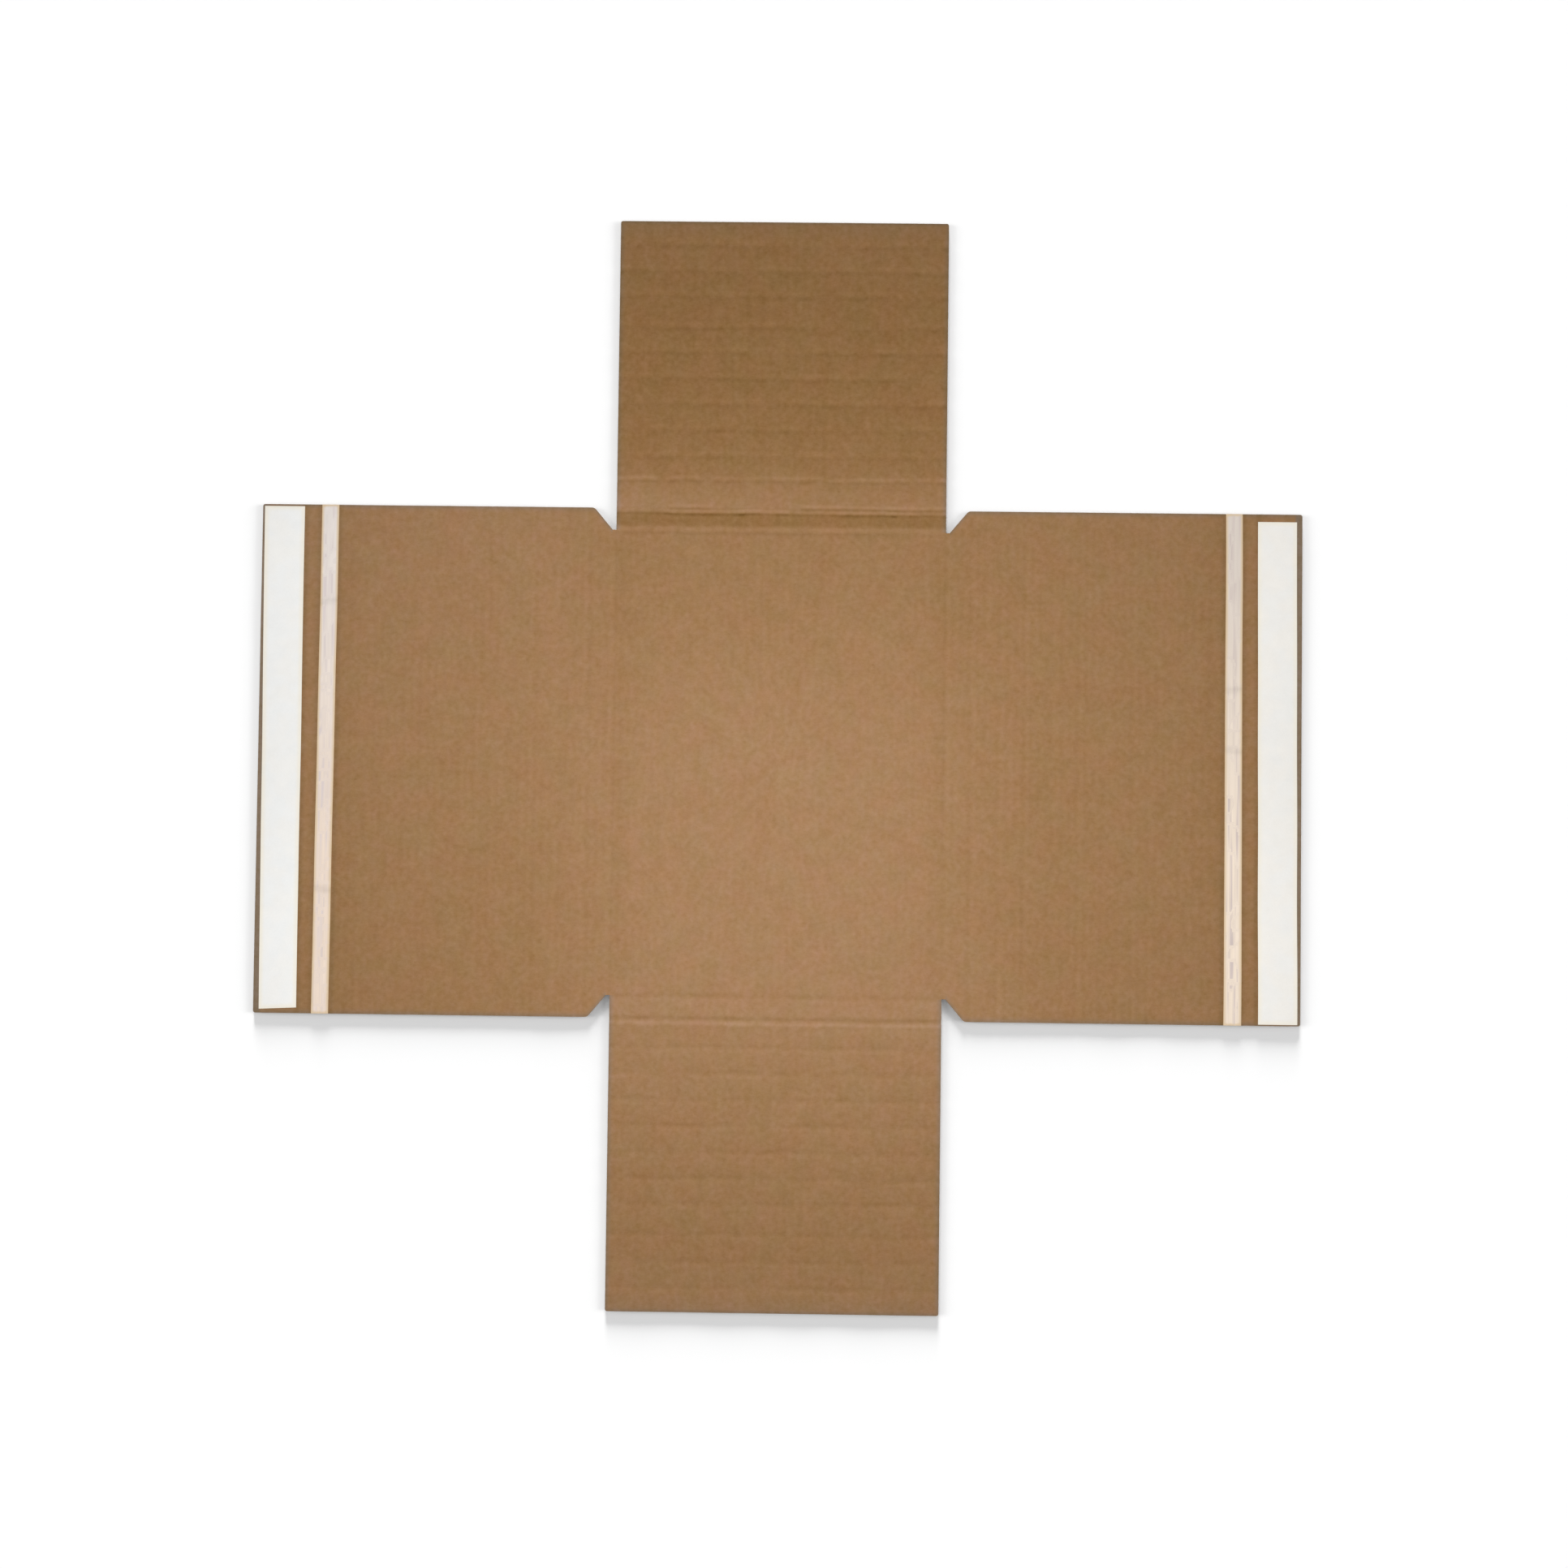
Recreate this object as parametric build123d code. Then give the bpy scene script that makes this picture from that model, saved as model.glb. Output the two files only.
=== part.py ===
from build123d import *
import os
from math import atan2, ceil, degrees, floor, tan

# A flat blank for a self-seal book wrap, inner side up. One die-cut sheet of fluted board has a base,
# two end flaps and two side flaps. Each side flap carries a self-seal strip and a tear tape.
# X runs across the sheet, Y along the flutes, Z up from the face that the sheet lies on.
# The origin is under the middle of the base. The sheet is parted only at the four creases of the base,
# where the flaps turn. All sizes are in millimetres.

# Board: two liners and the fluted paper between them
board_thickness = 1.6
liner_thickness = 0.25
medium_thickness = 0.2
flute_pitch = 3.5
flute_crown = 0.8
edge_wall = 0.3

# Panels, from crease to crease or from crease to cut edge
base_width = 150.0
base_length = 210.0
end_flap_length = 141.0
end_flap_inset = 0.5
side_flap_length = 160.0
side_flap_overhang = 10.0
corner_radius = 1.0

# Notches between an end flap and a side flap
notch_root = 1.2
notch_run = 8.4
notch_corner_radius = 2.5

# Creases turn a flap, scores fit the wrap to the book's thickness
crease_width = 2.5
crease_depth = 0.18
score_width = 1.3
score_depth = 0.09
score_pitch = 12.0
end_first_score = 10.0
end_plain_length = 9.0
side_first_score = 12.0
side_plain_length = 45.0

# Self-seal strip and tear tape on each side flap, counted inwards from the cut edge
strip_margin = 2.0
release_width = 17.5
release_thickness = 0.1
release_end_gaps = {"left": (2.2, 0.9), "right": (0.6, 3.5)}
adhesive_inset = 1.5
adhesive_thickness = 0.12
tape_gap = 7.1
tape_width = 7.7
tape_thickness = 0.1

# Shape of one flute, from the line along the middle of its paper
liner_gap = board_thickness - 2 * liner_thickness
hollow_height = liner_gap - medium_thickness
flank_run = flute_pitch / 2 - flute_crown
flank_angle = atan2(hollow_height, flank_run)
bend_offset = medium_thickness * tan(flank_angle / 2)
hollow_foot = flute_pitch - flute_crown - bend_offset

# Places of the creases and cut edges
half_width = base_width / 2
half_length = base_length / 2
end_flap_half_width = half_width - end_flap_inset
side_flap_half_length = half_length + side_flap_overhang
cut_edge = half_width + side_flap_length
crush = crease_width / 2
sheet_length = base_length + 2 * end_flap_length


def flute_hollows(left, right):
    """Cutter for the hollows of every whole flute between two X values. It runs past both ends of the sheet."""
    half_pitch = flute_pitch / 2
    first = ceil((left + hollow_foot / 2) / half_pitch)
    last = floor((right - hollow_foot / 2) / half_pitch)
    hollows = []
    for step in range(first, last + 1):
        under_crown = step % 2 == 0
        side, turn = (-1, 0) if under_crown else (1, 180)
        middle = (board_thickness + side * medium_thickness) / 2
        hollow = Trapezoid(hollow_foot, hollow_height, degrees(flank_angle), rotation=turn)
        hollows.append(Pos(step * half_pitch, middle) * hollow)
    return extrude(Plane.XZ * Sketch(children=hollows), sheet_length, both=True)


def pressed_line(width, depth):
    """Cutter for a line pressed along Y at X zero, with its bottom under the middle of its mouth."""
    mouth = board_thickness + depth
    profile = Polygon((0, board_thickness - depth), (width, mouth), (-width, mouth), align=None)
    return extrude(Plane.XZ * profile, sheet_length, both=True)


def along_flutes(x, width, depth):
    """Cutter for a pressed line along the flutes at one X value."""
    return Pos(x, 0, 0) * pressed_line(width, depth)


def across_flutes(y, width, depth):
    """Cutter for a pressed line across the flutes at one Y value."""
    return Pos(0, y, 0) * Rot(0, 0, 90) * pressed_line(width, depth)


def score_places(crease, first, flap_length, plain_length):
    """Places of a flap's scores, counted from its crease up to its plain outer end."""
    count = floor((flap_length - plain_length - first) / score_pitch) + 1
    return [crease + first + score_pitch * k for k in range(count)]


def board(outline, lines, left, right):
    """Fluted board with the given outline and pressed lines, hollow between two X values."""
    return extrude(outline, board_thickness) - lines - flute_hollows(left, right)


def base_panel():
    """Base that the book lies on, with half of each crease along its four sides."""
    lines = []
    for side in (-1, 1):
        lines.append(along_flutes(side * half_width, crease_width, crease_depth))
        lines.append(across_flutes(side * half_length, crease_width, crease_depth))
    return board(Rectangle(base_width, base_length), lines, crush - half_width, half_width - crush)


def end_flap():
    """Flap at the top end of the base. Its first score is pressed as deep as its crease."""
    width = 2 * end_flap_half_width
    outline = Pos(0, half_length + end_flap_length / 2) * Rectangle(width, end_flap_length)
    outline = fillet(outline.vertices().group_by(Axis.Y)[-1], corner_radius)
    places = score_places(half_length, end_first_score, end_flap_length, end_plain_length)
    lines = [across_flutes(y, crease_width, crease_depth) for y in (half_length, places[0])]
    lines += [across_flutes(y, score_width, score_depth) for y in places[1:]]
    inner = end_flap_half_width - edge_wall
    return board(outline, lines, -inner, inner)


def side_flap_outline():
    """Outline of the right side flap, with a chamfered notch at each end of its crease."""
    foot = half_width + notch_root
    shoulder = foot + notch_run
    upper_half = make_face(
        Polyline(
            (half_width, 0),
            (half_width, half_length),
            (foot, half_length),
            (shoulder, side_flap_half_length),
            (cut_edge, side_flap_half_length),
            (cut_edge, 0),
            close=True,
        )
    )
    top = upper_half.vertices().group_by(Axis.Y)[-1].sort_by(Axis.X)
    upper_half = fillet(top[0], notch_corner_radius)
    upper_half = fillet(upper_half.vertices().group_by(Axis.Y)[-1].sort_by(Axis.X)[-1], corner_radius)
    return upper_half + mirror(upper_half, about=Plane.XZ)


def side_flap():
    """Flap on the right of the base, with its faint scores along the flutes."""
    lines = [along_flutes(half_width, crease_width, crease_depth)]
    for x in score_places(half_width, side_first_score, side_flap_length, side_plain_length):
        lines.append(along_flutes(x, score_width, score_depth))
    return board(side_flap_outline(), lines, half_width + crush, cut_edge - edge_wall)


def strip(side, inward, width, floor_height, thickness, low_gap, high_gap):
    """Thin strip on a side flap, laid inwards from a distance to the cut edge, with a gap to each end edge."""
    low = -side_flap_half_length + low_gap
    high = side_flap_half_length - high_gap
    middle = Pos(side * (cut_edge - inward - width / 2), (low + high) / 2, floor_height)
    return middle * Box(width, high - low, thickness, align=(Align.CENTER, Align.CENTER, Align.MIN))


def side_strips(name, side):
    """Adhesive, its release paper and the tear tape of one side flap."""
    low_gap, high_gap = release_end_gaps[name]
    adhesive_width = release_width - 2 * adhesive_inset
    adhesive = strip(
        side,
        strip_margin + adhesive_inset,
        adhesive_width,
        board_thickness,
        adhesive_thickness,
        low_gap + adhesive_inset,
        high_gap + adhesive_inset,
    )
    paper_floor = board_thickness + adhesive_thickness
    paper = strip(side, strip_margin, release_width, paper_floor, release_thickness, low_gap, high_gap)
    tape_start = strip_margin + release_width + tape_gap
    tape = strip(side, tape_start, tape_width, board_thickness, tape_thickness, 0, 0)
    return {
        f"{name}_adhesive_band": adhesive,
        f"{name}_release_liner": paper,
        f"{name}_tear_tape": tape,
    }


parts = {"base_panel": base_panel()}
parts["top_end_flap"] = end_flap()
parts["bottom_end_flap"] = mirror(parts["top_end_flap"], about=Plane.XZ)
parts["right_side_flap"] = side_flap()
parts["left_side_flap"] = mirror(parts["right_side_flap"], about=Plane.YZ)
for name, side in (("left", -1), ("right", 1)):
    parts.update(side_strips(name, side))

os.makedirs("parts", exist_ok=True)
for name, part in parts.items():
    part.label = name
    export_step(part, f"parts/{name}.step")
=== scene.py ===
"""Looks of a flat book-wrap blank in fluted board, inner side up, dressed around its fixed frame.

One relief and one tone cover the whole sheet; the tone holds painted light and painted shade. Each panel is
made over its own patch of them, as two liners with fluted paper between, so the panels meet without a seam.
Strips, release papers and tapes lie on the side flaps. Sizes are in millimetres until a mesh is made. X runs
across the sheet, Y along the flutes, Z up.
"""

import logging
import math
from abc import ABC, abstractmethod
from collections.abc import Iterable
from dataclasses import dataclass, field, replace
from enum import Enum, IntEnum
from typing import NamedTuple

import bpy
import numpy as np
from mathutils import Matrix, Vector


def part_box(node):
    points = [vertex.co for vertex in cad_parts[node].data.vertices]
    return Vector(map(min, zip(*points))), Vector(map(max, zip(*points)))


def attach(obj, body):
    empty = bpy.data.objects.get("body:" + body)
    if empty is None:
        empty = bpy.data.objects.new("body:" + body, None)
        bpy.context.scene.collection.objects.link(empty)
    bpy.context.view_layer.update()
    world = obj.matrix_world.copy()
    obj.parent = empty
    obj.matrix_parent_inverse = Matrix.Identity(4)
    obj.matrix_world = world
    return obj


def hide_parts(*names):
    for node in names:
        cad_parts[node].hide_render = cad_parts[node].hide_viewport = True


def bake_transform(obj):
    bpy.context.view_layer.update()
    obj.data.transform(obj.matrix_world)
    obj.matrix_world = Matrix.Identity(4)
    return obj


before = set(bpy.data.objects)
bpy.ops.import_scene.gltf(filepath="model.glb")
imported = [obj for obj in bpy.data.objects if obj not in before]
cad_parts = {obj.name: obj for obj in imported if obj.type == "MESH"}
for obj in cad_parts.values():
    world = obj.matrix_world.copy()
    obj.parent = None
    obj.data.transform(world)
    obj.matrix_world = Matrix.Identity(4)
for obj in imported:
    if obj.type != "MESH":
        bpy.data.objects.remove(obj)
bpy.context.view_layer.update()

MILLIMETRE = 0.001
UNDERSIDE_SHIFT = 90.0
STRIP_REACH = 110.0
NO_EDGE_NEAR = 99.0
ROUNDING = 1e-6

Pair = tuple[float, float]
Triple = tuple[float, float, float]
Colour = tuple[float, float, float, float]
Socket = bpy.types.NodeSocket
Weighted = tuple[Socket, float]

log = logging.getLogger("book_wrap")


class Run(Enum):
    """Way that a pressed line runs over the board."""

    ACROSS_FLUTES = "across"
    ALONG_FLUTES = "along"


class Side(IntEnum):
    """Side of the base that a flap lies on, along its own axis."""

    LOW = -1
    HIGH = 1


class Layer(IntEnum):
    """Material slot of each kind of face on a board piece."""

    FACE = 0
    CUT = 1
    FLUTE = 2


class Trait(Enum):
    """Values stored with the points of a piece, for its materials to read."""

    PLACE = "place_mm"
    # Lightness change, with painted light and painted shade in it.
    PRESS = "press_tone"
    # Greyed fibres, and the greying of the painted shadow beside the strips.
    WEAR = "wear_share"
    MARGIN = "margin_mm"


def step_up(value: np.ndarray) -> np.ndarray:
    """Smooth step from 0 to 1 as a value goes from 0 to 1."""
    part = np.clip(value, 0.0, 1.0)
    return part * part * (3.0 - 2.0 * part)


def hump(distance: np.ndarray, width: float) -> np.ndarray:
    """Share that is 1 at no distance and dies away past a width."""
    return np.exp(-((distance / width) ** 2))


def linear(level: float) -> float:
    """Linear light of one display level from 0 to 255."""
    share = level / 255.0
    return share / 12.92 if share <= 0.04045 else ((share + 0.055) / 1.055) ** 2.4


def colour(levels: Triple, share: float = 1.0) -> Colour:
    """Opaque linear colour of three display levels from 0 to 255, each brought down to a share."""
    red, green, blue = (linear(share * level) for level in levels)
    return (red, green, blue, 1.0)


def add_object(name: str, data: bpy.types.ID) -> bpy.types.Object:
    """Adds an object to the scene."""
    made = bpy.data.objects.new(name, data)
    bpy.context.scene.collection.objects.link(made)
    return made


def mirrored(places: np.ndarray, side: Side) -> np.ndarray:
    """Places in rising order on one side of the sheet, given those of its high side."""
    return places if side is Side.HIGH else -places[::-1]


def spread(marks: Iterable[float], low: float, high: float, gap: float, least: float) -> np.ndarray:
    """Places from low to high that keep the marks and fill the wider stretches between them.

    Args:
        marks: Places to keep, in any order.
        low: First place.
        high: Last place.
        gap: Widest stretch that is left unfilled.
        least: Marks nearer than this to the one before are left out.

    Returns:
        The places in rising order.
    """
    kept = [low]
    for mark in sorted(marks):
        if mark - kept[-1] >= least and high - mark >= least:
            kept.append(mark)
    kept.append(high)
    filled = []
    for start, end in zip(kept, kept[1:]):
        parts = max(1, math.ceil((end - start) / gap - ROUNDING))
        filled.append(np.linspace(start, end, parts + 1)[:-1])
    return np.append(np.concatenate(filled), high)


@dataclass(frozen=True)
class Fade:
    """Amount that grows smoothly over a reach from where it starts."""

    amount: float
    start: float
    reach: float

    def at(self, place: np.ndarray) -> np.ndarray:
        """Amount at each place."""
        return self.amount * step_up((place - self.start) / self.reach)


@dataclass(frozen=True)
class Span:
    """Amount over a stretch with soft ends."""

    amount: float
    low: float
    high: float
    low_ease: float
    high_ease: float

    def at(self, place: np.ndarray) -> np.ndarray:
        """Amount at each place."""
        inside = step_up((place - self.low) / self.low_ease) * step_up((self.high - place) / self.high_ease)
        return self.amount * inside


@dataclass(frozen=True)
class Band:
    """Amount that is full along a line and dies away on both sides of it."""

    amount: float
    middle: float
    width: float

    def at(self, place: np.ndarray) -> np.ndarray:
        """Amount at each place."""
        return self.amount * hump(place - self.middle, self.width)


class Waves:
    """Smooth seeded unevenness of unit spread, from sine waves of random direction and phase."""

    def __init__(self, seed: int, shortest: float, longest: float, count: int = 14) -> None:
        """Draws the waves.

        Args:
            seed: Seed of the draw.
            shortest: Shortest wavelength in millimetres.
            longest: Longest wavelength in millimetres.
            count: How many waves are added up.
        """
        draw = np.random.default_rng(seed)
        turns = draw.uniform(0.0, 2.0 * math.pi, count)
        lengths = np.exp(draw.uniform(math.log(shortest), math.log(longest), count))
        self.ways = 2.0 * math.pi / lengths[:, None] * np.column_stack((np.cos(turns), np.sin(turns)))
        self.phases = draw.uniform(0.0, 2.0 * math.pi, count)
        self.gain = math.sqrt(2.0 / count)

    def at(self, x: np.ndarray, y: np.ndarray) -> np.ndarray:
        """Height of the unevenness at each place."""
        total = np.zeros(np.broadcast_shapes(np.shape(x), np.shape(y)))
        for way, phase in zip(self.ways, self.phases):
            total += np.sin(way[0] * x + way[1] * y + phase)
        return total * self.gain


@dataclass(frozen=True)
class SheetPlan:
    """Outline of the blank and make of its board. Panel sizes are read from the frame."""

    half_width: float
    half_length: float
    thickness: float
    flap_half_width: float
    flap_end: float
    cut_edge: float
    side_half_length: float
    notch_root: float = 1.2
    notch_run: float = 8.4
    notch_radius: float = 2.5
    corner_radius: float = 1.0
    liner: float = 0.25
    medium: float = 0.2
    pitch: float = 3.5
    seam_x: float = 70.0
    seam_y: float = 102.0

    @classmethod
    def from_frame(cls) -> "SheetPlan":
        """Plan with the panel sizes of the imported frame."""
        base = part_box("base_panel")[1] / MILLIMETRE
        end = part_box("top_end_flap")[1] / MILLIMETRE
        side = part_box("right_side_flap")[1] / MILLIMETRE
        return cls(base.x, base.y, base.z, end.x, end.y, side.x, side.y)

    @property
    def foot(self) -> float:
        """Distance from the middle at which a side flap's chamfer starts."""
        return self.half_width + self.notch_root

    def rounded(self, along: np.ndarray, end: float) -> np.ndarray:
        """How far a square corner is pulled in by its rounding, at places along one of its edges."""
        into = np.clip(np.abs(along) - (end - self.corner_radius), 0.0, self.corner_radius)
        return self.corner_radius - np.sqrt(self.corner_radius**2 - into**2)

    def side_limit(self, x: np.ndarray) -> np.ndarray:
        """Half length of the sheet along Y at each X, over the side flaps and their crease."""
        out = np.abs(x)
        rise = self.side_half_length - self.half_length
        slope = math.atan2(rise, self.notch_run)
        tangent = self.notch_radius * math.tan(slope / 2.0)
        centre = self.foot + self.notch_run + tangent
        chamfer = self.half_length + np.clip(out - self.foot, 0.0, self.notch_run) * math.tan(slope)
        across = np.clip(centre - out, 0.0, self.notch_radius)
        arc = self.side_half_length - self.notch_radius + np.sqrt(self.notch_radius**2 - across**2)
        on_arc = (out > centre - tangent * (1.0 + math.cos(slope))) & (out < centre)
        return np.where(on_arc, arc, chamfer) - self.rounded(out, self.cut_edge)

    def end_limit(self, y: np.ndarray) -> np.ndarray:
        """Half width of an end flap along X at each Y."""
        return self.flap_half_width - self.rounded(y, self.flap_end)

    def edge_distance(self, x: np.ndarray, y: np.ndarray) -> np.ndarray:
        """Distance from each place in to the nearest cut edge, large over the base and at its corners."""
        on_end = (np.abs(y) > self.half_length) & (np.abs(x) < self.half_width)
        end = np.minimum(self.flap_half_width - np.abs(x), self.flap_end - np.abs(y))
        side = np.minimum(self.cut_edge - np.abs(x), self.side_limit(x) - np.abs(y))
        beside = np.where(np.abs(x) > self.foot, side, NO_EDGE_NEAR)
        return np.clip(np.where(on_end, end, beside), 0.0, None)


@dataclass
class PressedLine:
    """Crease or score pressed into the inner face, with the low lips that it raises beside it.

    Its outer slope has a painted highlight; its inner slope and its bottom have painted shade. Each band is
    the place and the width of a lip, painted highlight or painted shade, in half widths of the line.
    """

    run: Run
    place: float
    low: float
    high: float
    depth: float
    half_width: float
    lip: float = 0.0
    # Painted highlight on the outer slope, painted shade on the inner slope and in the groove's bottom.
    painted_highlight: float = 0.0
    painted_shade: float = 0.0
    painted_groove_shade: float = 0.0
    wander: float = 0.12
    unevenness: float = 0.22
    fade: float = 0.5
    seed: int = 0
    wander_waves: Pair = (12.0, 90.0)
    uneven_waves: Pair = (6.0, 60.0)
    uneven_limits: Pair = (0.25, 1.75)
    lip_band: Pair = (2.0, 0.9)
    highlight_band: Pair = (1.1, 0.8)
    shade_band: Pair = (-0.9, 0.9)
    bead_spread: float = 1.1
    reach: float = 5.0

    def split(self, x: np.ndarray, y: np.ndarray) -> tuple[np.ndarray, np.ndarray]:
        """Distance outwards from the line and place along it, for each place on the sheet."""
        across, along = (y, x) if self.run is Run.ACROSS_FLUTES else (x, y)
        drift = Waves(self.seed, *self.wander_waves).at(along, 0.0) * self.wander
        return (across - self.place - drift) * math.copysign(1.0, self.place), along

    def is_near(self, x: np.ndarray, y: np.ndarray) -> bool:
        """Whether the line comes within its reach of any of the places."""
        across = y if self.run is Run.ACROSS_FLUTES else x
        reach = self.reach * self.half_width
        return bool(np.min(across) - reach < self.place < np.max(across) + reach)

    def strength(self, along: np.ndarray) -> np.ndarray:
        """Depth share along the line: uneven, and fading out past both ends."""
        start = step_up((along - self.low) / self.fade + 1.0)
        end = step_up((self.high - along) / self.fade + 1.0)
        life = 1.0 + self.unevenness * Waves(self.seed + 1, *self.uneven_waves).at(along, 0.0)
        return start * end * np.clip(life, *self.uneven_limits)

    def relief(self, x: np.ndarray, y: np.ndarray) -> np.ndarray:
        """Height that the line adds to the inner face."""
        outwards, along = self.split(x, y)
        lip_place, lip_width = (share * self.half_width for share in self.lip_band)
        groove = hump(outwards, self.half_width)
        lips = hump(np.abs(outwards) - lip_place, lip_width)
        return (self.lip * lips - self.depth * groove) * self.strength(along)

    def tone(self, x: np.ndarray, y: np.ndarray) -> np.ndarray:
        """Painted highlight and painted shade that the line adds to the inner face."""
        outwards, along = self.split(x, y)
        share = outwards / self.half_width
        pale = Band(self.painted_highlight, *self.highlight_band).at(share)
        dark = Band(self.painted_shade, *self.shade_band).at(share) + self.painted_groove_shade * hump(share, 1.0)
        return (pale - dark) * self.strength(along)

    def bead(self, x: np.ndarray, y: np.ndarray) -> np.ndarray:
        """Share from 0 to 1 of the bead that the line raises on the outer face."""
        outwards, along = self.split(x, y)
        return hump(outwards, self.bead_spread * self.half_width) * np.clip(self.strength(along), 0.0, 1.0)


class Stroke(NamedTuple):
    """One stroke of a score that was struck in several: how far out it lies, its ends and its depth."""

    shift: float
    low: float
    high: float
    depth: float


@dataclass
class SheetRelief:
    """Heights of both faces of the whole sheet, so that the pieces made from it meet without a step."""

    plan: SheetPlan
    sag: float = 0.05
    sag_unevenness: float = 0.35
    sag_limits: Pair = (0.2, 2.0)
    sag_waves: Pair = (18.0, 90.0)
    swell: float = 0.03
    swell_waves: Pair = (14.0, 70.0)
    edge_roll: float = 0.16
    edge_reach: float = 0.7
    roll_start: float = 2.0
    under_roll_share: float = 0.5
    bead_height: float = 0.08
    full_bead_depth: float = 0.3
    crease_depth: float = 0.25
    crease_half_width: float = 1.05
    crease_shift: float = 0.4
    faint_crease_share: float = 0.6
    score_depth: float = 0.17
    score_half_width: float = 1.3
    side_score_depth: float = 0.07
    side_score_half_width: float = 1.1
    score_pitch: float = 12.0
    end_first_score: float = 10.0
    side_first_score: float = 12.0
    side_score_count: int = 9
    lines: list[PressedLine] = field(init=False)

    def __post_init__(self) -> None:
        """Lays out every pressed line and draws the unevenness."""
        self.lines = self.creases() + self.first_scores() + self.end_scores() + self.side_scores()
        self.swelling = Waves(11, *self.swell_waves)
        self.flute_life = Waves(12, *self.sag_waves)

    def creases(self) -> list[PressedLine]:
        """Four creases round the base, clearest at its top end."""
        plan, depth, half_width = self.plan, self.crease_depth, self.crease_half_width
        faint = self.faint_crease_share * depth
        across, along = Run.ACROSS_FLUTES, Run.ALONG_FLUTES
        end = {"low": -plan.half_width, "high": plan.half_width, "wander": 0.06, "unevenness": 0.15}
        # Each kind of crease has its own amounts of painted highlight and painted shade.
        side = {
            "low": -plan.half_length, "high": plan.half_length, "depth": faint, "half_width": half_width,
            "lip": 0.1 * depth, "painted_highlight": 0.02, "painted_shade": 0.015, "wander": 0.05,
        }
        top = {"depth": depth, "half_width": half_width, "lip": 0.2 * depth, "painted_highlight": 0.038, "painted_shade": 0.03}
        bottom = {"depth": faint, "half_width": 1.3 * half_width, "painted_highlight": 0.01, "painted_groove_shade": 0.06}
        return [
            PressedLine(across, plan.half_length - self.crease_shift, **end, **top, seed=20),
            PressedLine(across, -plan.half_length, **end, **bottom, seed=22),
            PressedLine(along, plan.half_width, **side, seed=24),
            PressedLine(along, -plan.half_width, **side, seed=26),
        ]

    def first_scores(self) -> list[PressedLine]:
        """First score of each end flap. The top one is struck in overlapping strokes, not quite in line."""
        half = self.plan.flap_half_width
        top = (
            Stroke(-1.5, -half, -51.0, 0.2),
            Stroke(-1.9, -53.0, -17.0, 0.24),
            Stroke(0.5, -51.0, -31.0, 0.12),
            Stroke(-1.6, -19.0, 3.0, 0.22),
            Stroke(-2.0, 2.0, 52.0, 0.24),
            Stroke(0.3, 9.0, half, 0.2),
            Stroke(-2.1, 50.0, half, 0.16),
        )
        bottom = (
            Stroke(0.7, -half, -22.0, 0.3),
            Stroke(0.9, -22.5, half, 0.3),
            Stroke(3.6, 20.0, half, 0.07),
        )
        crisp = {"half_width": 0.8, "wander": 0.15}
        soft = {"half_width": 1.2, "wander": 0.06, "unevenness": 0.12}
        made = []
        # Painted highlight and painted shade of each stroke, as shares of its depth.
        for side, strokes, painted_highlight, painted_shade, seed, look in (
            (Side.HIGH, top, 0.42, 0.32, 60, crisp),
            (Side.LOW, bottom, 0.55, 0.25, 80, soft),
        ):
            for k, stroke in enumerate(strokes):
                place = side * (self.plan.half_length + self.end_first_score + stroke.shift)
                depth = stroke.depth
                made.append(
                    PressedLine(
                        Run.ACROSS_FLUTES, place, stroke.low, stroke.high, depth,
                        lip=0.3 * depth, painted_highlight=painted_highlight * depth, painted_shade=painted_shade * depth, seed=seed + 2 * k, **look,
                    )
                )
        return made

    def end_scores(self) -> list[PressedLine]:
        """Fainter scores across the end flaps. The first of these at the top end is the clearest."""
        shifts = {
            Side.LOW: (1.2, 0.8, 0.7, 0.2, 0.0, -0.2, -1.0, 0.8, 0.7, 0.4),
            Side.HIGH: (0.9, 0.1, 0.1, -0.2, -0.4, -0.7, -1.1, 1.1, 0.6, 0.4),
        }
        start = {Side.LOW: 1.05, Side.HIGH: 1.15}
        made = []
        for side in Side:
            for k, shift in enumerate(shifts[side], start=1):
                out = self.plan.half_length + self.end_first_score + k * self.score_pitch + shift
                clear, narrowing = start[side] - 0.04 * k, 1.0
                # Painted highlight and painted shade beside each score.
                marks = {"painted_highlight": 0.024 * clear, "painted_shade": 0.022}
                if side is Side.HIGH and k == 1:
                    clear, narrowing = 1.3, 0.75
                    marks = {"painted_highlight": 0.1, "painted_shade": 0.01}
                depth = clear * self.score_depth
                made.append(
                    PressedLine(
                        Run.ACROSS_FLUTES, side * out, -self.plan.half_width, self.plan.half_width,
                        depth, self.score_half_width * narrowing, 0.2 * depth,
                        wander=0.2, unevenness=0.4, seed=100 + 30 * side + 2 * k, **marks,
                    )
                )
        return made

    def side_scores(self) -> list[PressedLine]:
        """Very faint scores along the side flaps, fainter still towards the cut edge."""
        reach = self.plan.side_half_length
        start = {Side.LOW: 1.0, Side.HIGH: 1.2}
        fading = {Side.LOW: 0.2, Side.HIGH: 0.13}
        made = []
        for side in Side:
            for k in range(self.side_score_count):
                place = side * (self.plan.half_width + self.side_first_score + k * self.score_pitch)
                clear = max(0.25, start[side] - fading[side] * k)
                depth = clear * self.side_score_depth
                made.append(
                    PressedLine(
                        Run.ALONG_FLUTES, place, -reach, reach,
                        depth, self.side_score_half_width, 0.2 * depth,
                        # Painted highlight and painted shade, fainter with the score.
                        painted_highlight=0.022 * clear, painted_shade=0.018 * clear, unevenness=0.4,
                        seed=160 + 30 * side + 2 * k,
                    )
                )
        return made

    def near(self, x: np.ndarray, y: np.ndarray) -> list[PressedLine]:
        """Pressed lines that come within reach of any of the places."""
        return [line for line in self.lines if line.is_near(x, y)]

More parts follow.
